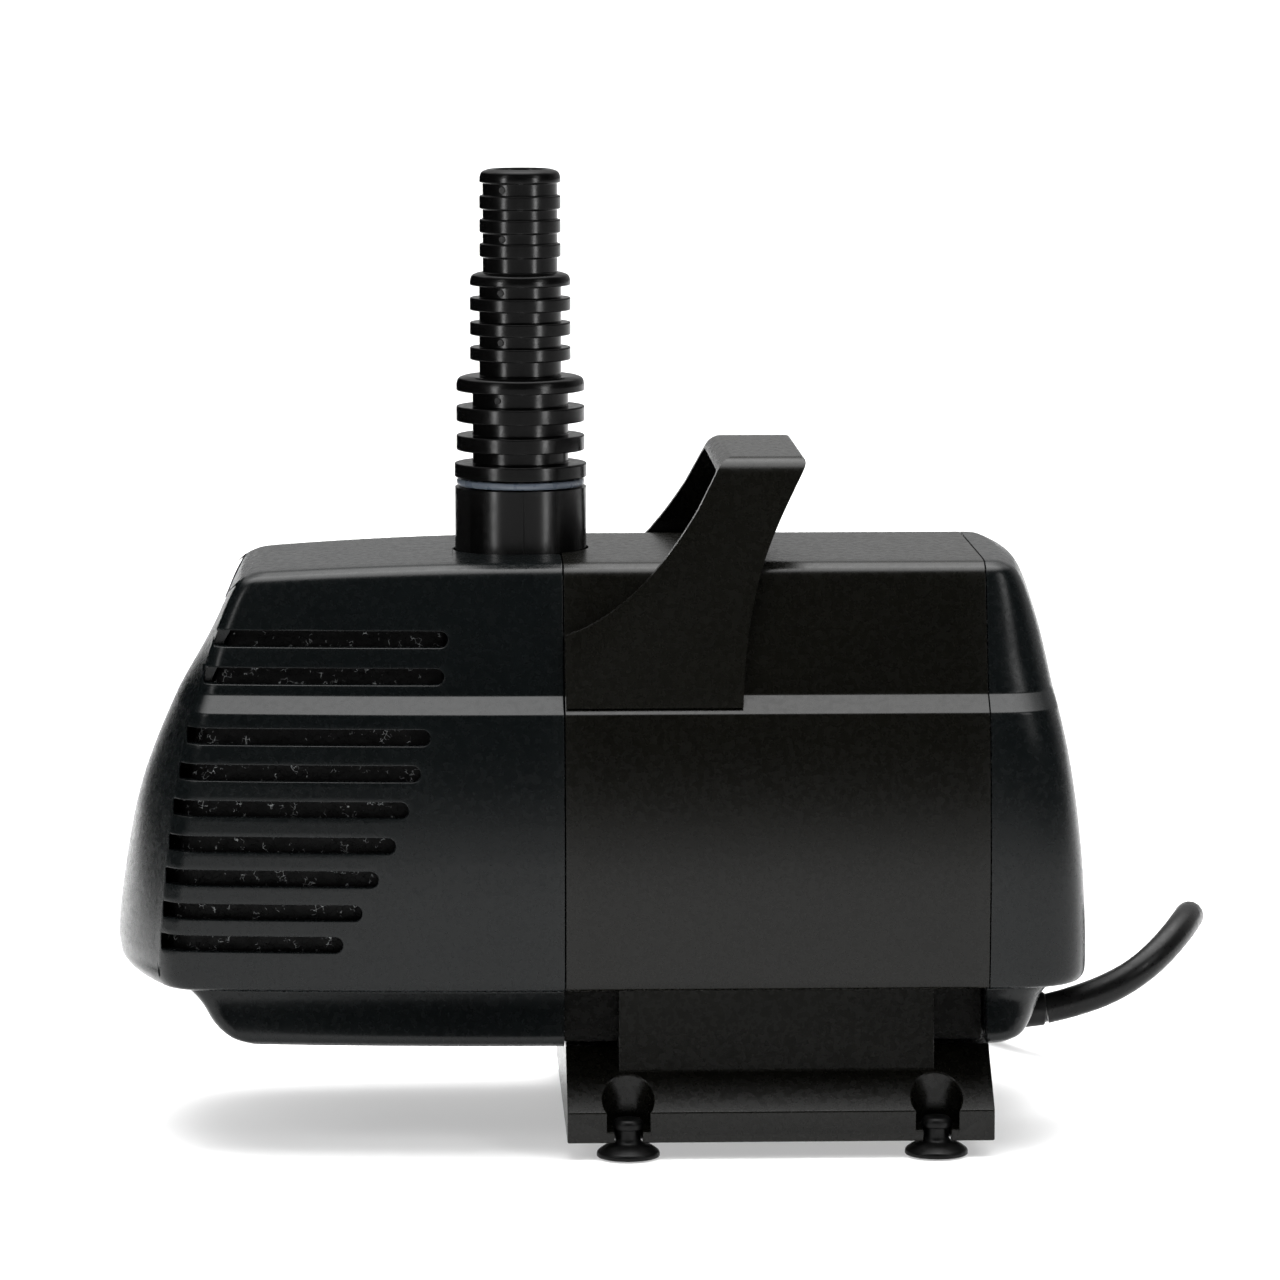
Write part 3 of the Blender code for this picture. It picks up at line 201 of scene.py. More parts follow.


def shader_material(name, colour, rough, metallic=0.0, specular=0.5, mottle=0.12, mottle_size=18.0,
                    grain=0.4, grain_depth=0.02, edge_wear_and_highlight=0.35, rough_swing=0.08):
    """A moulded or cast finish: a cloudy colour, fine grain in the bump, uneven roughness, and
    edges painted a little lighter, partly as wear and partly as a painted highlight. Sizes are in
    millimetres."""
    made = bpy.data.materials.new(name)
    tree = Tree(made)
    place = tree.add("TexCoord", {}).outputs["Object"]

    def noise_of(size, detail, roughness=0.55):
        return tree.noise(1 / (size * MM), detail, roughness, Vector=place).outputs["Fac"]

    cloud = noise_of(mottle_size, 4.0)
    fine = noise_of(grain, 3.0, 0.6)
    speckle = noise_of(grain * 3.1, 2.0)
    shade = tree.mix(cloud, tuple(c * (1 - 2 * mottle) for c in colour) + (1,),
                     tuple(min(1, c * (1 + 2 * mottle)) for c in colour) + (1,))
    pointed = tree.add("NewGeometry", {}).outputs["Pointiness"]
    # Edges are painted lighter where pointiness is high: partly wear, partly a painted highlight
    # for light caught on the bevels.
    rubbed_and_highlit = tree.mix(tree.ramp(pointed, *EDGE_POINTINESS, end=edge_wear_and_highlight), shade,
                    tuple(min(1, c * 2.2 + 0.012) for c in colour) + (1,))
    level = tree.ramp(speckle, 0.3, 0.7, max(0.05, rough - rough_swing),
                      min(1.0, rough + rough_swing))
    bump = tree.add("Bump", {"Strength": 1.0, "Distance": grain_depth * MM, "Height": fine})
    tree.feed(tree.nodes["Principled BSDF"], {
        "Metallic": metallic, "Specular IOR Level": specular, "Base Color": rubbed_and_highlit,
        "Roughness": level, "Normal": bump.outputs["Normal"]})
    return made


FOAM_CELLS = 780  # to the metre
FOAM_DARK, FOAM_PAINTED_GLINT = (0.0012, 0.0012, 0.0012, 1), (0.45, 0.47, 0.47, 1)


def foam_material():
    """Open-cell foam: a net of thin struts round dark cells, with scattered patches of struts
    painted light as a painted highlight for glints.
    """
    made = shader_material("foam", (0.002, 0.002, 0.002), 0.7, specular=0.15, grain=1.2,
                           grain_depth=0.6, edge_wear_and_highlight=0.0)
    tree = Tree(made)
    found = {node.bl_idname: node for node in tree.nodes}
    place = found["ShaderNodeTexCoord"].outputs["Object"]
    warp = tree.noise(700, Vector=place).outputs["Color"]
    cells = tree.add("TexVoronoi", {"Scale": FOAM_CELLS,
                                    "Vector": tree.mix(0.0012, place, warp, "VECTOR")},
                     feature="DISTANCE_TO_EDGE")
    strut = tree.ramp(cells.outputs["Distance"], 0.02, 0.05, 1.0, 0.0)
    # Painted highlight: struts in scattered patches get a pale colour that stands in for glints of
    # light on them.
    glint_patch = tree.noise(420, Vector=place).outputs["Fac"]
    painted_glint_mask = tree.add("Math", {0: strut, 1: tree.ramp(glint_patch, 0.58, 0.64)}, operation="MULTIPLY")
    tree.feed(found["ShaderNodeBsdfPrincipled"],
              {"Base Color": tree.mix(painted_glint_mask.outputs["Value"], FOAM_DARK, FOAM_PAINTED_GLINT)})
    tree.feed(found["ShaderNodeBump"], {"Height": strut})
    return made


# Name, colour, roughness and whatever differs from an ordinary moulded finish
FINISHES = {name: shader_material(name, colour, rough, **other) for name, colour, rough, other in (
    ("cage_plastic", (0.0024, 0.0033, 0.0035), 0.26,
     dict(specular=0.19, grain=0.5, grain_depth=0.008, rough_swing=0.05)),
    ("housing_plastic", (0.0026, 0.0025, 0.0017), 0.27,
     dict(specular=0.19, grain=0.5, grain_depth=0.008, rough_swing=0.05)),
    ("tail_plastic", (0.0011, 0.0011, 0.0011), 0.22,
     dict(specular=0.08, grain=0.5, grain_depth=0.005, rough_swing=0.04)),
    ("gasket_silicone", (0.10, 0.12, 0.15), 0.3, dict(grain=1.2, grain_depth=0.01, edge_wear_and_highlight=0.2)),
    ("black_rubber", (0.0025, 0.0025, 0.0025), 0.38,
     dict(specular=0.17, grain=0.5, grain_depth=0.01)),
    ("impeller_plastic", (0.62, 0.62, 0.58), 0.4,
     dict(mottle=0.03, grain=0.6, grain_depth=0.01, edge_wear_and_highlight=0.3)),
    ("ferrite", (0.03, 0.03, 0.032), 0.55, dict(metallic=0.2, grain=0.35, grain_depth=0.05)),
    ("ceramic", (0.84, 0.83, 0.79), 0.2, dict(mottle=0.02, grain=0.8, grain_depth=0.004, edge_wear_and_highlight=0.1)),
    ("carbon", (0.045, 0.045, 0.047), 0.45, {}),
    ("lamination", (0.30, 0.31, 0.33), 0.4, dict(metallic=1.0, grain=0.5)),
    ("bobbin", (0.70, 0.68, 0.60), 0.5, dict(mottle=0.03, grain=0.6)),
    ("copper", (0.55, 0.22, 0.08), 0.3, dict(metallic=1.0, grain=0.9)),
    ("resin", (0.02, 0.02, 0.022), 0.3, dict(grain=2.2, grain_depth=0.05)),
    ("stainless", (0.55, 0.55, 0.56), 0.28,
     dict(metallic=1.0, mottle=0.05, grain=0.5, grain_depth=0.008, edge_wear_and_highlight=0.3)),
    ("brass", (0.75, 0.58, 0.28), 0.28,
     dict(metallic=1.0, mottle=0.06, grain=0.6, grain_depth=0.008, edge_wear_and_highlight=0.3)),
    ("cord_pvc", (0.0028, 0.0028, 0.0028), 0.32,
     dict(specular=0.15, grain=0.5, grain_depth=0.008)),
    ("tie", (0.02, 0.02, 0.02), 0.6, dict(grain=0.5, grain_depth=0.12)),
)}
FINISHES["foam"] = foam_material()
BODY_OF = {node: body for body, group in frame["record"]["behaviour"]["bodies"].items()
           for node in group}
SLOT_OF = {part["node"]: part["material_slot"] for part in frame["record"]["subparts"]}


# ---------------------------------------------------------------- mesh helpers

def to_mesh(name, build):
    """The mesh that build fills, with its faces turned outwards."""
    bm = bmesh.new()
    build(bm)
    bmesh.ops.recalc_face_normals(bm, faces=bm.faces)
    mesh = bpy.data.meshes.new(name)
    bm.to_mesh(mesh)
    bm.free()
    return mesh


def bridge(bm, one, two):
    """Quads between two closed rings of vertices."""
    for i in range(len(one)):
        j = (i + 1) % len(one)
        bm.faces.new((one[i], one[j], two[j], two[i]))


def loft(bm, rings):
    """A closed surface through rings of vertices, with a flat face at either end."""
    for one, two in zip(rings, rings[1:]):
        bridge(bm, one, two)
    bm.faces.new(rings[0])
    bm.faces.new(rings[-1])


def joined(*meshes):
    """One mesh with all the faces of several."""
    bm = bmesh.new()
    for mesh in meshes:
        bm.from_mesh(mesh)
        bpy.data.meshes.remove(mesh)
    mesh = bpy.data.meshes.new("joined")
    bm.to_mesh(mesh)
    bm.free()
    return mesh


def boxes(*corners):
    """Separate boxes, each given by its low and its high corner."""
    def build(bm):
        for low, high in corners:
            low, high = [[f(a, b) for a, b in zip(low, high)] for f in (min, max)]
            size = [(h - l) * MM for l, h in zip(low, high)]
            middle = [(h + l) / 2 * MM for l, h in zip(low, high)]
            bmesh.ops.create_cube(bm, size=1, matrix=Matrix.Translation(middle)
                                  @ Matrix.Diagonal(size + [1]))
    return to_mesh("boxes", build)


def rods(*given, segments=64):
    """Cylinders along one axis: (axis letter, low, high, radius, a, b), where a and b are the
    other two coordinates of the centre in X, Y, Z order."""
    turns = {"X": Matrix.Rotation(math.pi / 2, 4, "Y"), "Y": Matrix.Rotation(math.pi / 2, 4, "X"),
             "Z": Matrix.Identity(4)}
    order = {"X": (2, 0, 1), "Y": (0, 2, 1), "Z": (0, 1, 2)}

    def build(bm):
        for axis, low, high, radius, a, b in given:
            values = (a, b, (low + high) / 2)
            centre = [values[i] * MM for i in order[axis]]
            bmesh.ops.create_cone(
                bm, cap_ends=True, segments=segments, radius1=radius * MM, radius2=radius * MM,
                depth=(high - low) * MM, matrix=Matrix.Translation(centre) @ turns[axis])
    return to_mesh("rods", build)


def prism(outline, low, high, along):
    """A flat outline extruded along X (outline in Y, Z), Y (X, Z) or Z (X, Y)."""
    def point(a, b, depth):
        place = {"X": (depth, a, b), "Y": (a, depth, b), "Z": (a, b, depth)}[along]
        return Vector(place) * MM

    def build(bm):
        ends = [[bm.verts.new(point(a, b, depth)) for a, b in outline] for depth in (low, high)]
        for end in ends:
            bm.faces.new(end)
        bridge(bm, *ends)
    return to_mesh("prism", build)


def rounded(points, radius, closed=False, steps=5):
    """A flat line with its corners rounded. A point may give its own radius as a third number."""
    made = []
    count = len(points)
    for i, given in enumerate(points):
        p = Vector(given[:2])
        own = given[2] if len(given) > 2 else radius
        if own <= 0 or (not closed and i in (0, count - 1)):
            made.append(tuple(p))
            continue
        a, b = Vector(points[i - 1][:2]) - p, Vector(points[(i + 1) % count][:2]) - p
        reach = min(own, a.length * 0.48, b.length * 0.48)
        start, end = p + a.normalized() * reach, p + b.normalized() * reach
        for k in range(steps + 1):
            t = k / steps
            made.append(tuple(start * (1 - t) ** 2 + p * 2 * t * (1 - t) + end * t * t))
    return made


def lathe(profile, origin, axis="Z", steps=96, ring=False):
    """A profile of (radius, height) turned about Z or X. A ring's profile closes on itself."""
    turn = Matrix.Rotation(math.pi / 2, 4, "Y") if axis == "X" else Matrix.Identity(4)
    place = Matrix.Translation(Vector(origin) * MM) @ turn

    def build(bm):
        lines = []
        for radius, height in profile:
            if radius < 1e-6:
                lines.append([bm.verts.new(place @ Vector((0, 0, height * MM)))])
                continue
            lines.append([bm.verts.new(place @ Vector((
                radius * MM * math.cos(a), radius * MM * math.sin(a), height * MM)))
                for a in (2 * math.pi * i / steps for i in range(steps))])
        pairs = list(zip(lines, lines[1:])) + ([(lines[-1], lines[0])] if ring else [])
        for one, two in pairs:
            for i in range(steps):
                j = (i + 1) % steps
                corners = [one[i % len(one)], one[j % len(one)], two[j % len(two)],
                           two[i % len(two)]]
                corners = list(dict.fromkeys(corners))
                if len(corners) > 2:
                    bm.faces.new(corners)
    return to_mesh("lathe", build)


def worked(mesh, *steps):
    """A mesh after modifiers, given as (kind, settings); the objects that they need are removed."""
    made = []

    def temporary(data):
        obj = bpy.data.objects.new("temporary", data)
        SCENE.collection.objects.link(obj)
        made.append(obj)
        return obj
    obj = temporary(mesh)
    for kind, settings in steps:
        modifier = obj.modifiers.new(kind, kind)
        for key, value in settings.items():
            if isinstance(value, bpy.types.Mesh):
                value = temporary(value)
            setattr(modifier, key, value)
    bpy.context.view_layer.update()
    depsgraph = bpy.context.evaluated_depsgraph_get()
    result = bpy.data.meshes.new_from_object(obj.evaluated_get(depsgraph), depsgraph=depsgraph)
    for obj in made:
        data = obj.data
        bpy.data.objects.remove(obj, do_unlink=True)
        bpy.data.meshes.remove(data)
    return result


def cut(tool, operation="DIFFERENCE"):
    return "BOOLEAN", {"operation": operation, "object": tool, "solver": "EXACT"}


def join(tool):
    return cut(tool, "UNION")


def keep(tool):
    return cut(tool, "INTERSECT")


def thicken(wall):
    return "SOLIDIFY", {"thickness": wall * MM, "offset": -1, "use_even_offset": True}


def soften(width, angle=32, segments=2, clamp=True):
    """Rounds the edges that are sharper than the angle, after points that nearly touch are one."""
    return (("WELD", {"merge_threshold": 0.00004}),
            ("BEVEL", {"width": width * MM, "segments": segments, "limit_method": "ANGLE",
                       "angle_limit": math.radians(angle), "use_clamp_overlap": clamp,
                       "miter_outer": "MITER_ARC", "loop_slide": True}))


def piece(name, mesh, node, smooth_angle=40):
    """Shows a mesh in place of a CAD node, on its body and with its finish."""
    mesh.name = name
    mesh.shade_smooth()
    mesh.set_sharp_from_angle(angle=math.radians(smooth_angle))
    obj = bpy.data.objects.new(name, mesh)
    SCENE.collection.objects.link(obj)
    weighted = obj.modifiers.new("weighted_normals", "WEIGHTED_NORMAL")
    weighted.keep_sharp = True
    slot = SLOT_OF[node]
    mesh.materials.clear()
    mesh.materials.append(FINISHES[slot])
    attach(obj, BODY_OF[node])
    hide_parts(node)
    return obj


# ---------------------------------------------------------------- cord

def helix_points():
    """The coil from where the route joins it: five and a quarter turns in three layers, the last
    of them rising to the plug. A stop is an angle in degrees, a radius and a height, and each
    stretch eases from one stop to the next."""
    outer, inner = COIL_TURNS
    one, two, three = COIL_LAYERS
    stops = ((0, outer, one), (285, outer, one), (360, inner, one), (570, inner, one),
             (630, inner, two), (855, inner, two), (930, outer, two), (1155, outer, two),
             (1215, outer, three), (1440, outer, three), (1515, inner, three),
             (1795, inner, three), (1890, inner, PLUG_Z))
    points = []
    for (a0, r0, z0), (a1, r1, z1) in zip(stops, stops[1:]):
        count = max(2, round((a1 - a0) / 10))
        for i in range(count):
            t = i / count
            ease = (1 - math.cos(math.pi * t)) / 2
            angle, radius = math.radians(a0 + (a1 - a0) * t), r0 + (r1 - r0) * ease
            points.append(Vector((COIL_CENTRE[0] + radius * math.cos(angle),
                                  COIL_CENTRE[1] + radius * math.sin(angle),
                                  z0 + (z1 - z0) * ease)))
    return points


def power_cord():
    """One smooth curve: the route, smoothed, then the coil, and at its end the plug."""
    route = [Vector(p) for p in CORD_ROUTE]
    fine = []
    beyond = Vector((COIL_CENTRE[0] + COIL_TURNS[0], COIL_CENTRE[1] - 2, COIL_LAYERS[0]))
    ends = [2 * route[0] - route[1]] + route + [beyond]
    for a, b, c, d in zip(ends, ends[1:], ends[2:], ends[3:]):
        for t in (0.0, 0.5):
            fine.append(((2 * b) + (c - a) * t + (2 * a - 5 * b + 4 * c - d) * t ** 2
                         + (3 * b - a - 3 * c + d) * t ** 3) / 2)
    for _ in range(3):
        fine = [fine[0], fine[1]] + [
            (a + 2 * b + c) / 4 for a, b, c in zip(fine[1:], fine[2:], fine[3:])] + [fine[-1]]
    last = Vector((PLUG_END_X + 12, PLUG_Y, PLUG_Z))
    points = fine + [route[-1]] + helix_points() + [last + Vector((4, 0, 0)), last]
    curve = bpy.data.curves.new("power_cord", "CURVE")
    curve.dimensions = "3D"
    curve.bevel_depth = CORD_RADIUS * MM
    curve.bevel_resolution = 6
    curve.resolution_u = 4
    curve.use_fill_caps = True
    spline = curve.splines.new("NURBS")
    spline.points.add(len(points) - 1)
    for place, point in zip(spline.points, points):
        place.co = (*(point * MM), 1)
    spline.order_u = 4
    spline.use_endpoint_u = True
    spline.use_smooth = True
    curve.materials.append(FINISHES["cord_pvc"])
    obj = bpy.data.objects.new("power_cord_model", curve)
    SCENE.collection.objects.link(obj)
    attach(obj, "pump")
    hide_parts("power_cord", "cord_coil")
    return obj


def mains_plug():
    """A moulded plug with a waisted grip, its ribbed boot, two blades and an earth pin."""
    x1, x0 = PLUG_END_X, PLUG_END_X - PLUG_LENGTH

    def squarish(value):
        return math.copysign(abs(value) ** 0.55, value)

    def section(x, grow):
        t = (x - x0) / (x1 - x0)
        waist = 1 - 0.16 * math.sin(math.pi * min(1, t * 1.2)) ** 2 - 0.45 * max(0, t - 0.7) ** 1.2
        wide = PLUG_HALF * waist + grow
        high = PLUG_THICK / 2 * (1 - 0.55 * max(0, t - 0.7)) + min(0, grow)
        return [(PLUG_Y + wide * squarish(math.cos(a)), PLUG_Z + high * squarish(math.sin(a)))
                for a in (2 * math.pi * k / 64 for k in range(64))]
    stations = [(x0, -1.2), (x0 + 0.3, -0.4), (x0 + 1.2, 0), (x0 + 4.0, 0), (x0 + 4.5, -0.6),
                (x0 + 5.3, -0.6), (x0 + 5.8, 0)]
    stations += [(x0 + 5.8 + i * 1.9, 0 if i % 2 else -0.7) for i in range(2, 11)]
    stations += [(x1 - 6.5, 0), (x1 - 4.0, -0.3), (x1 - 2.4, -1.6), (x1 - 1.6, -4.0)]

    def build(bm):
        loft(bm, [[bm.verts.new(Vector((x, y, z)) * MM) for y, z in section(x, grow)]
                  for x, grow in stations])
    boot = [(0, x1 - 9)]
    for i in range(8):
        x = x1 - 5 + i * 1.8
        radius = 5.6 - 0.1 * i
        boot += [(radius, x, 0.25), (radius, x + 1.1, 0.25), (radius - 0.8, x + 1.1, 0.1),
                 (radius - 0.8, x + 1.8, 0.1)]
    boot += [(4.1, x1 + 10), (0, x1 + 10)]
    body = joined(to_mesh("plug", build),
                  lathe(rounded(boot, 0.2), (0, PLUG_Y, PLUG_Z), axis="X", steps=48))
    made = [piece("plug_body_model", body, "plug_body")]
    pin_low, pin_high = x0 - PIN_LENGTH, x0 - 0.3
    for name, side in (("left", -1), ("right", 1)):
        y = PLUG_Y + side * BLADE_APART
        z0, z1 = PLUG_Z - 6.2, PLUG_Z + 0.2
        outline = [(pin_high, z0), (pin_high, z1), (pin_low + 0.8, z1), (pin_low, z1 - 1.4),
                   (pin_low, z0 + 1.4), (pin_low + 0.8, z0)]
        blade = worked(prism(outline, y - BLADE_HALF, y + BLADE_HALF, "Y"),
                       cut(rods(("Y", y - 3, y + 3, 1.5, pin_low + 4.2, PLUG_Z - 3), segments=32)),
                       *soften(0.18))
        made.append(piece(f"plug_blade_{name}_model", blade, f"plug_blade_{name}"))
    pin = [(0, pin_high), (2.4, pin_high), (2.4, pin_low - 0.8, 1.2), (1.2, pin_low - 2, 0.4),
           (0, pin_low - 2)]
    made.append(piece("plug_earth_pin_model",
                      lathe(rounded(pin, 0.1), (0, PLUG_Y, PLUG_Z + 6.0), axis="X", steps=48),
                      "plug_earth_pin"))
    return made


def coil_tie():
    """A reusable strap round the coil's three layers: a flat loop with a turned-back end."""
    top = COIL_LAYERS[0] + 5 * CORD_RADIUS
    x0, x1 = (COIL_CENTRE[0] - turn - side * CORD_RADIUS for turn, side in zip(COIL_TURNS, (1, -1)))
    y, half = COIL_CENTRE[1], 5.0
    low, high = (x0 - 1.35, 0.0), (x1 + 1.75, top + 1.35)
    outer = rounded([low, (high[0], low[1]), high, (low[0], high[1])], 3.6, closed=True, steps=6)
    inner = rounded([(x0 - 0.3, 1.05), (x1 + 0.7, 1.05), (x1 + 0.7, top + 0.3),
                     (x0 - 0.3, top + 0.3)], 2.6, closed=True, steps=6)
    loop = worked(prism(outer, y - half, y + half, "Y"), cut(prism(inner, y - 9, y + 9, "Y")),
                  *soften(0.3))
    flap = worked(boxes(((x0 + 2.0, y - half + 0.3, high[1] - 0.2),
                         (x1 - 1.5, y + half - 0.3, high[1] + 0.9))), *soften(0.4))
    return piece("coil_tie_model", joined(loop, flap), "coil_tie")


cord = power_cord()
on_cord = mains_plug() + [coil_tie()]


# ---------------------------------------------------------------- body outline

def quadratic(a, control, b, count):
    return [tuple(p * (1 - t) ** 2 + c * 2 * t * (1 - t) + q * t * t
                  for p, c, q in zip(a, control, b)) for t in (i / count for i in range(count + 1))]


def bend_levels():
    """Dense sizes along the levels, with a smooth bend at each level."""
    rows = []
    for i, level in enumerate(LEVELS):
        here = [float(v) for v in level[:5]]
        if i in (0, len(LEVELS) - 1):
            rows.append(here)
            continue
        before, after, share = LEVELS[i - 1], LEVELS[i + 1], level[5]
        start = [h + (b - h) * min(share, 0.499) for h, b in zip(here, before)]
        end = [h + (a - h) * min(share, 0.499) for h, a in zip(here, after)]
        rows += quadratic(start, here, end, 6)
    kept = rows[:1]
    for row in rows[1:]:
        if math.hypot(row[0] - kept[-1][0], row[1] - kept[-1][1]) > 0.12:
            kept.append(row)
    return kept


BENT = bend_levels()


def level_at(z):
    """The body's sizes at any height."""
    for low, high in zip(BENT, BENT[1:]):
        if low[0] <= z <= high[0]:
            share = (z - low[0]) / max(1e-9, high[0] - low[0])
            return [a + (b - a) * share for a, b in zip(low, high)]
    return BENT[-1] if z > BENT[-1][0] else BENT[0]


def front_half(level, inset=0.0, start=SPLIT_FRONT, fine=1.0):
    """Half of the cage's outline at one level, from the split to the middle of the nose."""
    z, side, corner_x, nose_x, _ = level
    side, corner_x, nose_x = side - inset, corner_x + inset, nose_x + inset
    corner_y = side * CORNER_SHARE
    length = SPLIT_FRONT - corner_x
    first = (SPLIT_FRONT - start) / length
    sides = []
    for i in range(round(10 * fine) + 1):
        t = first + (0.952 - first) * i / round(10 * fine)
        sides.append((start + (corner_x - start) * (t - first) / (1 - first),
                      side - (side - corner_y) * t * t))
    nose = [(nose_x + (corner_x - nose_x) * share ** 2, corner_y * share)
            for share in (0.90 * (1 - i / (NOSE_POINTS - 1)) for i in range(NOSE_POINTS))]
    corner = quadratic(sides[-1], (corner_x, corner_y), nose[0], 8)
    step = 0.0 if inset else (PANEL_STEP * min(1, max(0, (z - PANEL_Z[0]) / 2))
                              * min(1, max(0, (PANEL_Z[1] - z) / 3)))
    nose = [(x + step + 0.02, y - (0.3 * step + 0.02) * (y > 0)) for x, y in nose]
    return sides + corner[1:-1] + [nose[0] if inset else corner[-1]] + (
        nose if not inset else nose[1:])


def rear_half(level, inset=0.0, start=SPLIT_REAR):
    """Half of the rear cap's outline at one level, from the split to the middle of its back."""
    _, side, _, _, rear_x = level
    side, rear_x = side - inset, rear_x - inset
    length = rear_x - REAR_CROWN - SPLIT_REAR
    radius = min(REAR_CORNER - inset, max(0.5, length - 0.8))
    corner = (SPLIT_REAR + length, side - REAR_TAPER * length)
    before = (corner[0] - radius, corner[1] + REAR_TAPER * radius)
    share = 1 - radius / corner[1]
    after = (rear_x - REAR_CROWN * share ** 2, corner[1] * share)
    back = [(rear_x - REAR_CROWN * s ** 2, corner[1] * s)
            for s in (share * (1 - i / 6) for i in range(1, 7))]
    return [(start, side)] + quadratic(before, corner, after, 14) + back


def top_drop(x, z):
    """How much lower the body's upper part is at the front than at the split."""
    if x > SPLIT_FRONT or z <= LEDGE_TOP:
        return 0.0
    along = (SPLIT_FRONT - x) / DROP_LENGTH
    return FRONT_DROP * along ** 2 * (z - LEDGE_TOP) / (BODY_TOP - LEDGE_TOP)


def shell(rows, closed=False):
    """The surface through rows of half outlines: (height, half outline) bottom to top. It is open
    at the rear unless it is closed there by a flat face."""
    def build(bm):
        lines = []
        for z, half in rows:
            points = half + [(x, -y) for x, y in reversed(half[:-1])]
            lines.append([bm.verts.new(Vector((x, y, z - top_drop(x, z))) * MM) for x, y in points])
        for low, high in zip(lines, lines[1:]):
            for i in range(len(low) - 1):
                bm.faces.new((low[i], low[i + 1], high[i + 1], high[i]))
        for line in (lines[0], lines[-1]):
            last = len(line) - 1
            for i in range(last // 2 - 1):
                bm.faces.new((line[i], line[i + 1], line[last - i - 1], line[last - i]))
            middle = last // 2
            bm.faces.new((line[middle - 1], line[middle], line[middle + 1]))
        if closed:
            bm.faces.new([line[0] for line in lines] + [line[-1] for line in reversed(lines)])
    mesh = to_mesh("shell", build)
    middle = sum((v.co for v in mesh.vertices), Vector()) / len(mesh.vertices)
    if sum((f.center - middle).dot(f.normal) * f.area for f in mesh.polygons) < 0:
        mesh.flip_normals()
    return mesh


def skirt_walls(x_low, x_high):
    """The walls that close a skirt on either side of the keel."""
    return [((x_low, y0, BODY_BOTTOM + 1.5), (x_high, y1, SKIRT_WALL_TOP))
            for y0, y1 in ((-46.3, -KEEL_HALF + 1), (KEEL_HALF - 1, 46.3))]


# ---------------------------------------------------------------- shells

def slot_tools():
    """Slots with a round rear end, through both side walls and on round the front corners."""
    tools = []
    for z, rear in SLOTS:
        level = level_at(z)
        front = front_half(level)[-NOSE_POINTS][0] + 0.15
        inner = level[1] * CORNER_SHARE - SLOT_DEPTH[z > LEDGE_TOP]
        half = SLOT_HEIGHT / 2
        arc = [(rear - half + half * math.sin(a), z - half * math.cos(a))
               for a in (math.pi * i / 10 for i in range(11))]
        outline = [(front, z - half)] + arc + [(front, z + half)]
        tools += [prism(outline, side * inner, side * 70, "Y") for side in (1, -1)]
    return joined(*tools)


def cage_heights():
    """Heights of the cage's rows, kept clear of the slots' long edges."""
    heights = [row[0] for row in BENT if row[0] < 49 or 106.9 <= row[0] <= 113.2 or row[0] > 130]
    for z, _ in SLOTS:
        heights += [z - 3.2, z, z + 3.2]
    heights += [129.9]
    kept = []
    for z in sorted(set(heights)):
        near = any(abs(abs(z - slot) - SLOT_HEIGHT / 2) < 0.8 for slot, _ in SLOTS)
        step = 1 if not kept else math.hypot(z - kept[-1], level_at(z)[1] - level_at(kept[-1])[1])
        if not near and step > 0.12:
            kept.append(z)
    return kept


def raised_in_wall(z, wall):
    """How far below the height z on the inside the matching height on the outside lies, so that
    floor, ledge and roof keep their thickness."""
    from_roof = (z - LEDGE_TOP) / (LEVELS[-1][0] - LEDGE_TOP - wall)
    return wall * (min(1, max(0, (51.0 - z) / 4.0)) - min(1, max(0, from_roof)))


def inner_room(half_outline, split, beyond):
    """The space inside the walls of the cage or the rear cap, carried on past the open end."""
    rows, z = [], BODY_BOTTOM + SHELL_WALL
    while z <= LEVELS[-1][0] - SHELL_WALL:
        level = level_at(z - raised_in_wall(z, SHELL_WALL))
        rows.append((z, half_outline(level, SHELL_WALL, start=split + beyond)))
        z += 0.5 if z < 46 else 1.9
    return shell(rows, closed=True)


def front_cage():
    """The slotted cage, with a notch at the rear of its roof that lets it slide past the outlet."""
    mesh = shell([(z, front_half(level_at(z))) for z in cage_heights()], closed=True)
    reach = SOCKET_RADIUS + 0.5
    mesh = worked(
        mesh, cut(inner_room(front_half, SPLIT_FRONT, 3)),
        join(boxes(*skirt_walls(SPLIT_FRONT - SHELL_WALL, SPLIT_FRONT - 0.2))),
        cut(slot_tools()),
        cut(rods(("Z", 130, 150, reach, OUTLET_X, 0), segments=96)),
        cut(boxes(((OUTLET_X, -reach, 130), (SPLIT_FRONT + 2, reach, 150)))),
        *soften(0.3, clamp=False))
    piece("front_cage_model", mesh, "front_cage")


def filter_foam():
    """The foam liner, with an uneven, open surface."""
    rows = []
    z = 44.5
    while z < 138.5:
        level = level_at(z)
        if z <= 47.6:
            level = level_at(max(40.9, z - FOAM_INSET))
        elif z > LEDGE_TOP + 1:
            level = level_at(min(143, z + FOAM_INSET * (z - LEDGE_TOP) / (BODY_TOP - LEDGE_TOP)))
        rows.append((z, front_half(level, FOAM_INSET, start=FOAM_REAR, fine=3.0)))
        z += 1.6
    mesh = worked(shell(rows), thicken(FOAM_THICK - 0.6))
    for vertex in mesh.vertices:
        swing = noise.noise_vector(vertex.co * 650) * 0.0006
        vertex.co += swing
    foam = piece("filter_foam_model", mesh, "filter_foam", smooth_angle=180)


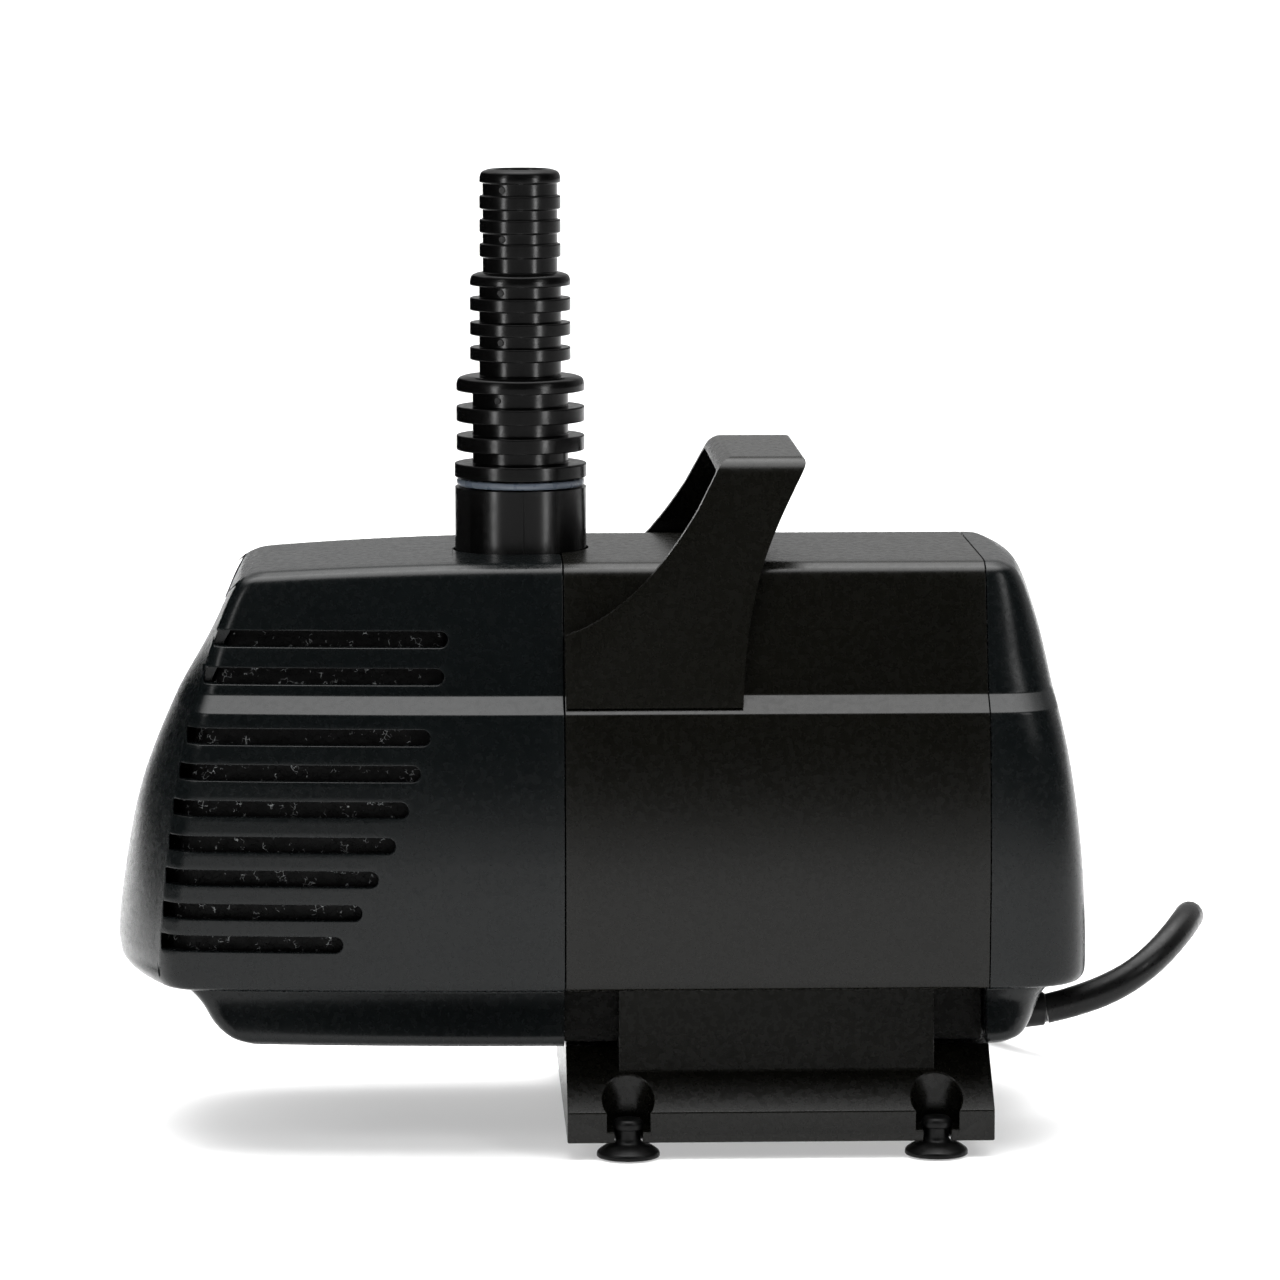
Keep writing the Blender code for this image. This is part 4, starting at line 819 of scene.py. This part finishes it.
def housing_section(wall):
    """Half of the motor housing's section, or of the room inside a wall: (half-width, height)."""
    low, high = KEEL_BOTTOM + wall, LEVELS[-1][0] - wall
    heights = [row[0] for row in BENT if row[0] > WIDE_FROM + wall and row[0] < high]
    if wall:
        heights = [WIDE_FROM + wall + 0.1] + heights[::2]
    wide = [(level_at(z - raised_in_wall(z, wall))[1] - wall, z) for z in heights]
    keel = [(0.0, low), (KEEL_HALF - wall, low), (KEEL_HALF - LEAN - wall, WIDE_FROM + wall)]
    return keel + wide + [(wide[-1][0] if wall else LEVELS[-1][1], high), (0.0, high)]


def motor_housing():
    """The centre section, open at both ends, with holes for the outlet, the cord and the screws."""
    def block(wall, low, high, count):
        half = housing_section(wall)
        loop = half + [(-y, z) for y, z in reversed(half[1:-1])]
        stations = [low + (high - low) * i / count for i in range(count + 1)]

        def build(bm):
            loft(bm, [[bm.verts.new(Vector((x, y, z)) * MM) for y, z in loop] for x in stations])
        return to_mesh("block", build)
    mesh = worked(
        block(0.0, SPLIT_FRONT + 0.3, SPLIT_REAR - 0.3, 12),
        cut(block(HOUSING_WALL, SPLIT_FRONT - 3, SPLIT_REAR + 3, 1)),
        cut(rods(("Z", 130, 150, SOCKET_RADIUS + 0.5, OUTLET_X, 0), segments=96)),
        *channel(84, 96),
        cut(rods(*[("Z", 20, 32, 2.1, x, y) for x in BASE_SCREW_X
                   for y in (-BASE_SCREW_Y, BASE_SCREW_Y)], segments=24)),
        *soften(0.25))
    piece("motor_housing_model", mesh, "motor_housing")


def channel(low, high):
    """Cuts that let the cord's strain relief out, from below."""
    return (cut(rods(("X", low, high, CHANNEL_RADIUS, GLAND_Y, GLAND_Z), segments=48)),
            cut(boxes(((low, GLAND_Y - CHANNEL_RADIUS, 20),
                       (high, GLAND_Y + CHANNEL_RADIUS, GLAND_Z)))))


def rear_cap():
    """The end cap, with a channel from below for the cord's strain relief."""
    mesh = worked(
        shell([(row[0], rear_half(row)) for row in BENT], closed=True),
        cut(inner_room(rear_half, SPLIT_REAR, -3)),
        join(boxes(*skirt_walls(SPLIT_REAR + 0.2, SPLIT_REAR + SHELL_WALL))),
        *channel(92, 118), *soften(0.25))
    piece("rear_cap_model", mesh, "rear_cap")


def swept(start, lead, trail, end, count):
    """Points along a cubic curve from start to end."""
    points = []
    for i in range(count + 1):
        t = i / count
        weights = ((1 - t) ** 3, 3 * t * (1 - t) ** 2, 3 * t * t * (1 - t), t ** 3)
        points.append(tuple(sum(w * p[k] for w, p in zip(weights, (start, lead, trail, end)))
                            for k in (0, 1)))
    return points


def handle():
    """The arch across the housing, cut to its swept outline as seen from the side."""
    def outer(z):
        return HANDLE_FOOT_HALF - HANDLE_LEAN * (z - HANDLE_BOTTOM)

    def arch(half_of, top, bottom_z, rounding):
        lean = math.atan(HANDLE_LEAN)
        centre = (half_of(top - rounding) - rounding / math.cos(lean), top - rounding)
        arc = [(centre[0] + rounding * math.cos(a), centre[1] + rounding * math.sin(a))
               for a in (lean + (math.pi / 2 - lean) * i / 14 for i in range(15))]
        return [(half_of(bottom_z), bottom_z)] + arc
    outside = arch(outer, HANDLE_TOP, HANDLE_BOTTOM, HANDLE_ROUND)
    inside = arch(lambda z: outer(z) - HANDLE_WALL, HANDLE_TOP - 3.4, HANDLE_BOTTOM + 2.5,
                  HANDLE_ROUND - 2.5)
    band = outside + [(-y, z) for y, z in reversed(outside)]
    band += [(-y, z) for y, z in inside] + list(reversed(inside))
    front, rear = swept(*HANDLE_FRONT, 32), swept(*HANDLE_REAR, 24)
    corners = rounded([front[-9], (front[-1][0], HANDLE_TOP + 0.05), (40.7, HANDLE_TOP + 0.4),
                       (rear[0][0], HANDLE_TOP + 0.05), rear[6]], 3.2, steps=8)
    outline = [(front[0][0], 100)] + front[:-8] + corners[1:-1] + rear[6:] + [(rear[-1][0], 100)]
    mesh = worked(prism(band, -10, 52.2, "X"), keep(prism(outline, -70, 70, "Y")),
                  *soften(0.7, angle=34, segments=3))
    piece("handle_model", mesh, "handle")


# ---------------------------------------------------------------- foot

def base_plate():
    """The foot with its two rails, a recess below and four keyholes for the suction cups."""
    half = [(BASE_HALF, BASE_LOW), (BASE_HALF, BASE_EDGE_TOP), (BASE_TOP_HALF, BASE_TOP)]
    outline = half + [(-y, z) for y, z in reversed(half)]
    rails = []
    for side in (-1, 1):
        low, high = side * (RAIL_HALF + 1.2), side * (RAIL_HALF - LEAN)
        inner = side * (KEEL_HALF + 0.4)
        rails.append(prism([(low, BASE_EDGE_TOP + 3), (high, RAIL_TOP), (inner, RAIL_TOP),
                            (inner, BASE_EDGE_TOP + 3)], *RAIL_X, "X"))
    wells, holes, mouths = [], [], []
    for x in CUP_X:
        for side in (-1, 1):
            wells.append(("Z", NOTCH_SHELF, BASE_TOP + 4, NOTCH_RADIUS, x, side * CUP_Y))
            holes.append(("Z", 0, NOTCH_SHELF + 1, KEYHOLE_HALF, x, side * CUP_Y))
            mouths.append(((x - KEYHOLE_HALF, side * CUP_Y, 0),
                           (x + KEYHOLE_HALF, side * (BASE_HALF + 3), NOTCH_SHELF + 1)))
    mesh = worked(
        prism(outline, *BASE_X, "X"), join(joined(*rails)),
        cut(boxes(((POCKET_X[0], -POCKET_HALF, 1.8), (POCKET_X[1], POCKET_HALF, POCKET_TOP)))),
        cut(rods(*[("Z", POCKET_TOP - 2, BASE_TOP + 2, 2.1, x, y) for x in BASE_SCREW_X
                   for y in (-BASE_SCREW_Y, BASE_SCREW_Y)], segments=32)),
        cut(rods(*wells, segments=72)), cut(rods(*holes, segments=48)), cut(boxes(*mouths)),
        *soften(0.4, angle=25, segments=3))
    piece("base_plate_model", mesh, "base_plate")


def suction_cups():
    """A mushroom-headed stem over a thin cup, hollow below."""
    neck = NOTCH_SHELF + 0.3
    profile = [(0, CUP_HEIGHT), (CUP_KNOB - 0.8, CUP_HEIGHT, 0.5),
               (CUP_KNOB, CUP_HEIGHT - 0.9, 0.5), (CUP_KNOB, neck, 0.5), (CUP_STEM, neck, 0.3),
               (CUP_STEM, 3.4, 1.2), (CUP_RADIUS - 2.2, 2.8, 1.5), (CUP_RADIUS, 1.2, 0.6),
               (CUP_RADIUS, 0.0, 0.25), (CUP_RADIUS - 0.7, 0.0, 0.3), (3.5, 1.3, 2.0), (0, 1.7)]
    places = [(x, side * CUP_Y) for x in CUP_X for side in (-1, 1)]
    for name, (x, y) in zip(("front_left", "front_right", "rear_left", "rear_right"), places):
        mesh = lathe(rounded(profile, 0.2, steps=6), (x, y, 0), steps=96)
        piece(f"suction_cup_{name}_model", mesh, f"suction_cup_{name}")


def base_screws():
    """Screws with a coarse thread and a crossed recess in the head."""
    head, top = POCKET_TOP - 3, POCKET_TOP - 0.3
    arm, wide, depth = 2.0, 0.45, 1.3
    thread = []
    z = 29.0
    while z > 24.6:
        thread += [(1.8, z), (1.35, z - 0.35)]
        z -= 0.7
    profile = [(0, 30), (0.9, 30)] + thread + [
        (1.8, top), (3.8, top, 0.2), (3.8, POCKET_TOP - 2, 0.6), (3.0, head, 0.5), (0, head)]
    places = [(x, y) for x in BASE_SCREW_X for y in (-BASE_SCREW_Y, BASE_SCREW_Y)]
    for number, (x, y) in enumerate(places, 1):
        recess = [cut(boxes(((x - a, y - b, head - 0.5), (x + a, y + b, head + depth))))
                  for a, b in ((arm, wide), (wide, arm))]
        mesh = worked(lathe(rounded(profile, 0.15, steps=3), (x, y, 0), steps=48), *recess)
        piece(f"base_screw_{number}_model", mesh, f"base_screw_{number}")


# ---------------------------------------------------------------- outlet

def outlet_gasket():
    """The ring between the socket and the flange of the hose tail."""
    low, high = SOCKET_TOP + 0.3, FLANGE[0] - 0.3
    profile = rounded([(12.9, high, 0.2), (15.95, high, 0.9), (15.95, low, 0.9), (12.9, low, 0.2)],
                      0.2, closed=True, steps=8)
    piece("outlet_gasket_model", lathe(profile, (OUTLET_X, 0, 0), ring=True), "outlet_gasket")


def hose_adapter():
    """The hose tail in three steps; the top ring of each step has a rounded upper edge. Small
    ejector marks stand on some of the cores."""
    outside, marks = [], []
    core = None
    for ring, next_core, height, middles in reversed(TAIL_STEPS):
        if core:
            outside.append((core, middles[-1] + height / 2, 0.35))
        core = next_core
        for middle in reversed(middles):
            top, low = middle + height / 2, middle - height / 2
            if middle == middles[-1]:
                outside += [(ring - 2.3, top, 0.6), (ring - 0.5, top - 0.6, 0.9),
                            (ring, top - 1.9, 0.8)]
            else:
                outside += [(core, top, 0.35), (ring, top, 0.45)]
            outside += [(ring, low, 0.35), (core, low, 0.35)]
        gaps = [(a + b) / 2 for a, b in zip(middles, middles[1:])]
        marks += [(core, z) for z in gaps[-1::-2]]
    outside[0] = (outside[0][0], TAIL_TOP, 0.6)
    low, high, radius = FLANGE
    outside += [(TAIL_STEPS[0][1], high, 0.4), (radius, high, 0.5), (radius, low, 0.3),
                (SPIGOT_RADIUS, low, 0.2), (SPIGOT_RADIUS, SPIGOT_LOW, 0.5)]
    bore = [(TAIL_WIDE_BORE, SPIGOT_LOW, 0.3), (TAIL_WIDE_BORE, 184.0, 1.5),
            (TAIL_BORE, 188.0, 1.5), (TAIL_BORE, TAIL_TOP, 0.7)]
    tail = lathe(rounded(outside + bore, 0.3, closed=True), (OUTLET_X, 0, 0), steps=128, ring=True)

    def discs(bm):
        for core, z in marks:
            place = (Matrix.Translation(Vector((OUTLET_X, 0, z)) * MM)
                     @ Matrix.Rotation(MARK_TURN, 4, "Z") @ Matrix.Translation((core * MM, 0, 0))
                     @ Matrix.Rotation(math.pi / 2, 4, "Y"))
            bmesh.ops.create_cone(bm, cap_ends=True, segments=24, radius1=0.95 * MM,
                                  radius2=0.8 * MM, depth=0.5 * MM, matrix=place)
    piece("hose_adapter_model", joined(tail, to_mesh("marks", discs)), "hose_adapter")


def volute():
    """The pump chamber with its outlet socket, which has a mould seam on its front and back."""
    low, high = CHAMBER_X
    reach = LUG_CIRCLE / math.sqrt(2)
    lugs = [(y, AXIS_Z + z) for y in (-reach, reach) for z in (-reach, reach)]
    mesh = worked(
        rods(("X", low, high, CHAMBER_RADIUS, 0, AXIS_Z), segments=96),
        join(rods(*[("X", low, high, LUG_RADIUS, y, z) for y, z in lugs], segments=32)),
        join(boxes(((-32, -13.5, 105), (-6, 13.5, SOCKET_LOW + 2)))),
        join(rods(("Z", SOCKET_LOW, SOCKET_TOP, SOCKET_RADIUS, OUTLET_X, 0), segments=128)),
        cut(rods(("X", low - 2, high - 3.0, CHAMBER_ROOM, 0, AXIS_Z), segments=96)),
        cut(rods(("X", high - 5, high + 2, CHAMBER_PORT, 0, AXIS_Z))),
        cut(rods(("Z", 112, 146, THROAT_BORE, OUTLET_X, 0))),
        cut(rods(("Z", SPIGOT_LOW - 2, SOCKET_TOP + 3, SOCKET_BORE, OUTLET_X, 0), segments=96)),
        cut(rods(*[("X", low - 2, high + 2, LUG_BORE, y, z) for y, z in lugs], segments=24)),
        *soften(0.3))

    def seam(bm):
        middle = Vector((OUTLET_X, 0, (SOCKET_LOW + SOCKET_TOP) / 2 + 5))
        for angle in (-math.pi / 2 + 0.03, math.pi / 2):
            place = (Matrix.Translation(middle * MM)
                     @ Matrix.Rotation(angle, 4, "Z")
                     @ Matrix.Translation((SOCKET_RADIUS * MM, 0, 0))
                     @ Matrix.Rotation(math.pi / 4, 4, "Z"))
            size = Matrix.Diagonal((0.22 * MM, 0.22 * MM, 16.6 * MM, 1))
            bmesh.ops.create_cube(bm, size=1, matrix=place @ size)
    piece("volute_model", joined(mesh, to_mesh("seam", seam)), "volute")


def cord_gland():
    """A rubber sleeve that tapers smoothly to a thin lip round the cord."""
    low, high = GLAND_X
    profile = [(0, high - 0.2), (3.85, high, 0.15), (4.15, high - 0.3, 0.3), (4.6, high - 4.5, 3.0),
               (5.1, high - 7.5, 2.0), (5.1, low, 0.3), (0, low)]
    mesh = lathe(rounded(profile, 0.2), (0, GLAND_Y, GLAND_Z), axis="X", steps=64)
    piece("cord_gland_model", mesh, "cord_gland")


# ---------------------------------------------------------------- studio

FLOOR_REACH, FLOOR_Z = 40.0, -0.0004
FLOOR_TINTS = (0.90, 0.90, 0.90, 1), (0.93, 0.93, 0.93, 1)
# The sky is bright overhead, paler behind the object and dark in front. Each range gives how far
# a direction points that way, at the start and at the end of the glow, and the strengths there
WORLD_TOWARDS = (0.0, 0.12, 1.0)
OVERHEAD = (0.80, 0.985, 0.0, 7.0)
BEHIND = (0.0, 0.6, 0.03, 0.5)
FLOOR_FILL = 1.6  # a shadowless light on the floor alone, which keeps the shadow pale
# A black card on the left, seen only in reflections, which keeps the nose dark
FLAG = [(-0.45, -0.3, 0.0), (-0.45, 1.9, 0.0), (-0.45, 1.9, 0.6), (-0.45, -0.3, 0.6)]
# Name, watts, width and height, place and target in metres, and what it lights if not everything
TAIL_PIECES = ("hose_adapter_model", "volute_model")
LIGHTS = (
    ("softbox_top", 20.0, (2.6, 2.0), (0.0, 0.4, 1.5), (0.0, 0.0, 0.05), ()),
    ("softbox_high_left", 3.0, (0.3, 0.5), (-0.9, -0.75, 0.85), (0.0, 0.0, 0.12), ()),
    ("softbox_high_right", 3.0, (0.3, 0.5), (0.9, -0.75, 0.85), (0.0, 0.0, 0.12), ()),
    ("softbox_low_left", 9.0, (0.15, 0.5), (-0.76, -0.67, 0.28), (0.0, 0.0, 0.17), TAIL_PIECES),
    ("softbox_low_right", 9.0, (0.15, 0.5), (0.66, -0.71, 0.28), (0.0, 0.0, 0.17), TAIL_PIECES),
)


def studio_card(name, corners):
    """A flat object with a material of its own, and that material's tree and shader."""
    material = bpy.data.materials.new(name)
    tree = Tree(material)
    mesh = bpy.data.meshes.new(name)
    mesh.from_pydata(corners, [], [(0, 1, 2, 3)])
    mesh.materials.append(material)
    card = bpy.data.objects.new(name, mesh)
    SCENE.collection.objects.link(card)
    return card, tree, tree.nodes["Principled BSDF"]


def studio_stage():
    far = FLOOR_REACH
    floor, tree, shader = studio_card("studio_floor", [
        (x, y, FLOOR_Z) for x, y in ((-far, -far), (far, -far), (far, far), (-far, far))])
    tint = tree.mix(tree.noise(3.0).outputs["Fac"], *FLOOR_TINTS)
    tree.feed(shader, {"Roughness": 0.55, "Specular IOR Level": 0.2, "Base Color": tint})

    flag, tree, shader = studio_card("studio_flag", FLAG)
    tree.feed(shader, {"Base Color": (0.0, 0.0, 0.0, 1), "Specular IOR Level": 0.0})
    flag.visible_camera = flag.visible_diffuse = flag.visible_shadow = False


def studio_world():
    world = bpy.data.worlds.new("studio")
    tree = Tree(world)
    direction = tree.add("TexCoord", {}).outputs["Generated"]
    towards = tree.add("VectorMath", {0: direction, 1: Vector(WORLD_TOWARDS).normalized()},
                       operation="DOT_PRODUCT").outputs["Value"]
    back = tree.add("SeparateXYZ", {"Vector": direction}).outputs["Y"]
    total = tree.add("Math", {
        0: tree.ramp(towards, *OVERHEAD, interpolation_type="SMOOTHSTEP"),
        1: tree.ramp(back, *BEHIND, interpolation_type="SMOOTHSTEP")})
    tree.feed(tree.nodes["Background"], {"Color": (1.0, 1.0, 1.0, 1),
                                         "Strength": total.outputs["Value"]})
    SCENE.world = world
    SCENE.view_settings.view_transform = "Standard"


def lamp_object(lamp, receivers):
    """Puts a lamp in the scene. It lights only the named objects, or with no names everything."""
    obj = bpy.data.objects.new(lamp.name, lamp)
    SCENE.collection.objects.link(obj)
    if receivers:
        only = bpy.data.collections.new(f"{lamp.name}_receivers")
        for name in receivers:
            only.objects.link(bpy.data.objects[name])
        obj.light_linking.receiver_collection = only
    return obj


def studio_lights():
    for name, power, size, place, target, receivers in LIGHTS:
        lamp = bpy.data.lights.new(name, "AREA")
        lamp.shape = "RECTANGLE"
        lamp.size, lamp.size_y = size
        lamp.energy = power
        obj = lamp_object(lamp, receivers)
        obj.location = place
        aim = Vector(target) - Vector(place)
        obj.rotation_euler = aim.to_track_quat("-Z", "Y").to_euler()
        obj.visible_camera = False
    fill = bpy.data.lights.new("floor_fill", "SUN")
    fill.energy, fill.use_shadow = FLOOR_FILL, False
    lamp_object(fill, ("studio_floor",))


front_cage()
filter_foam()
motor_housing()
rear_cap()
handle()
base_plate()
suction_cups()
base_screws()
outlet_gasket()
hose_adapter()
volute()
cord_gland()
studio_stage()
studio_world()
studio_lights()

for node, obj in frame["nodes"].items():
    if not obj.hide_render:
        obj.data.materials.clear()
        obj.data.materials.append(FINISHES[SLOT_OF[node]])
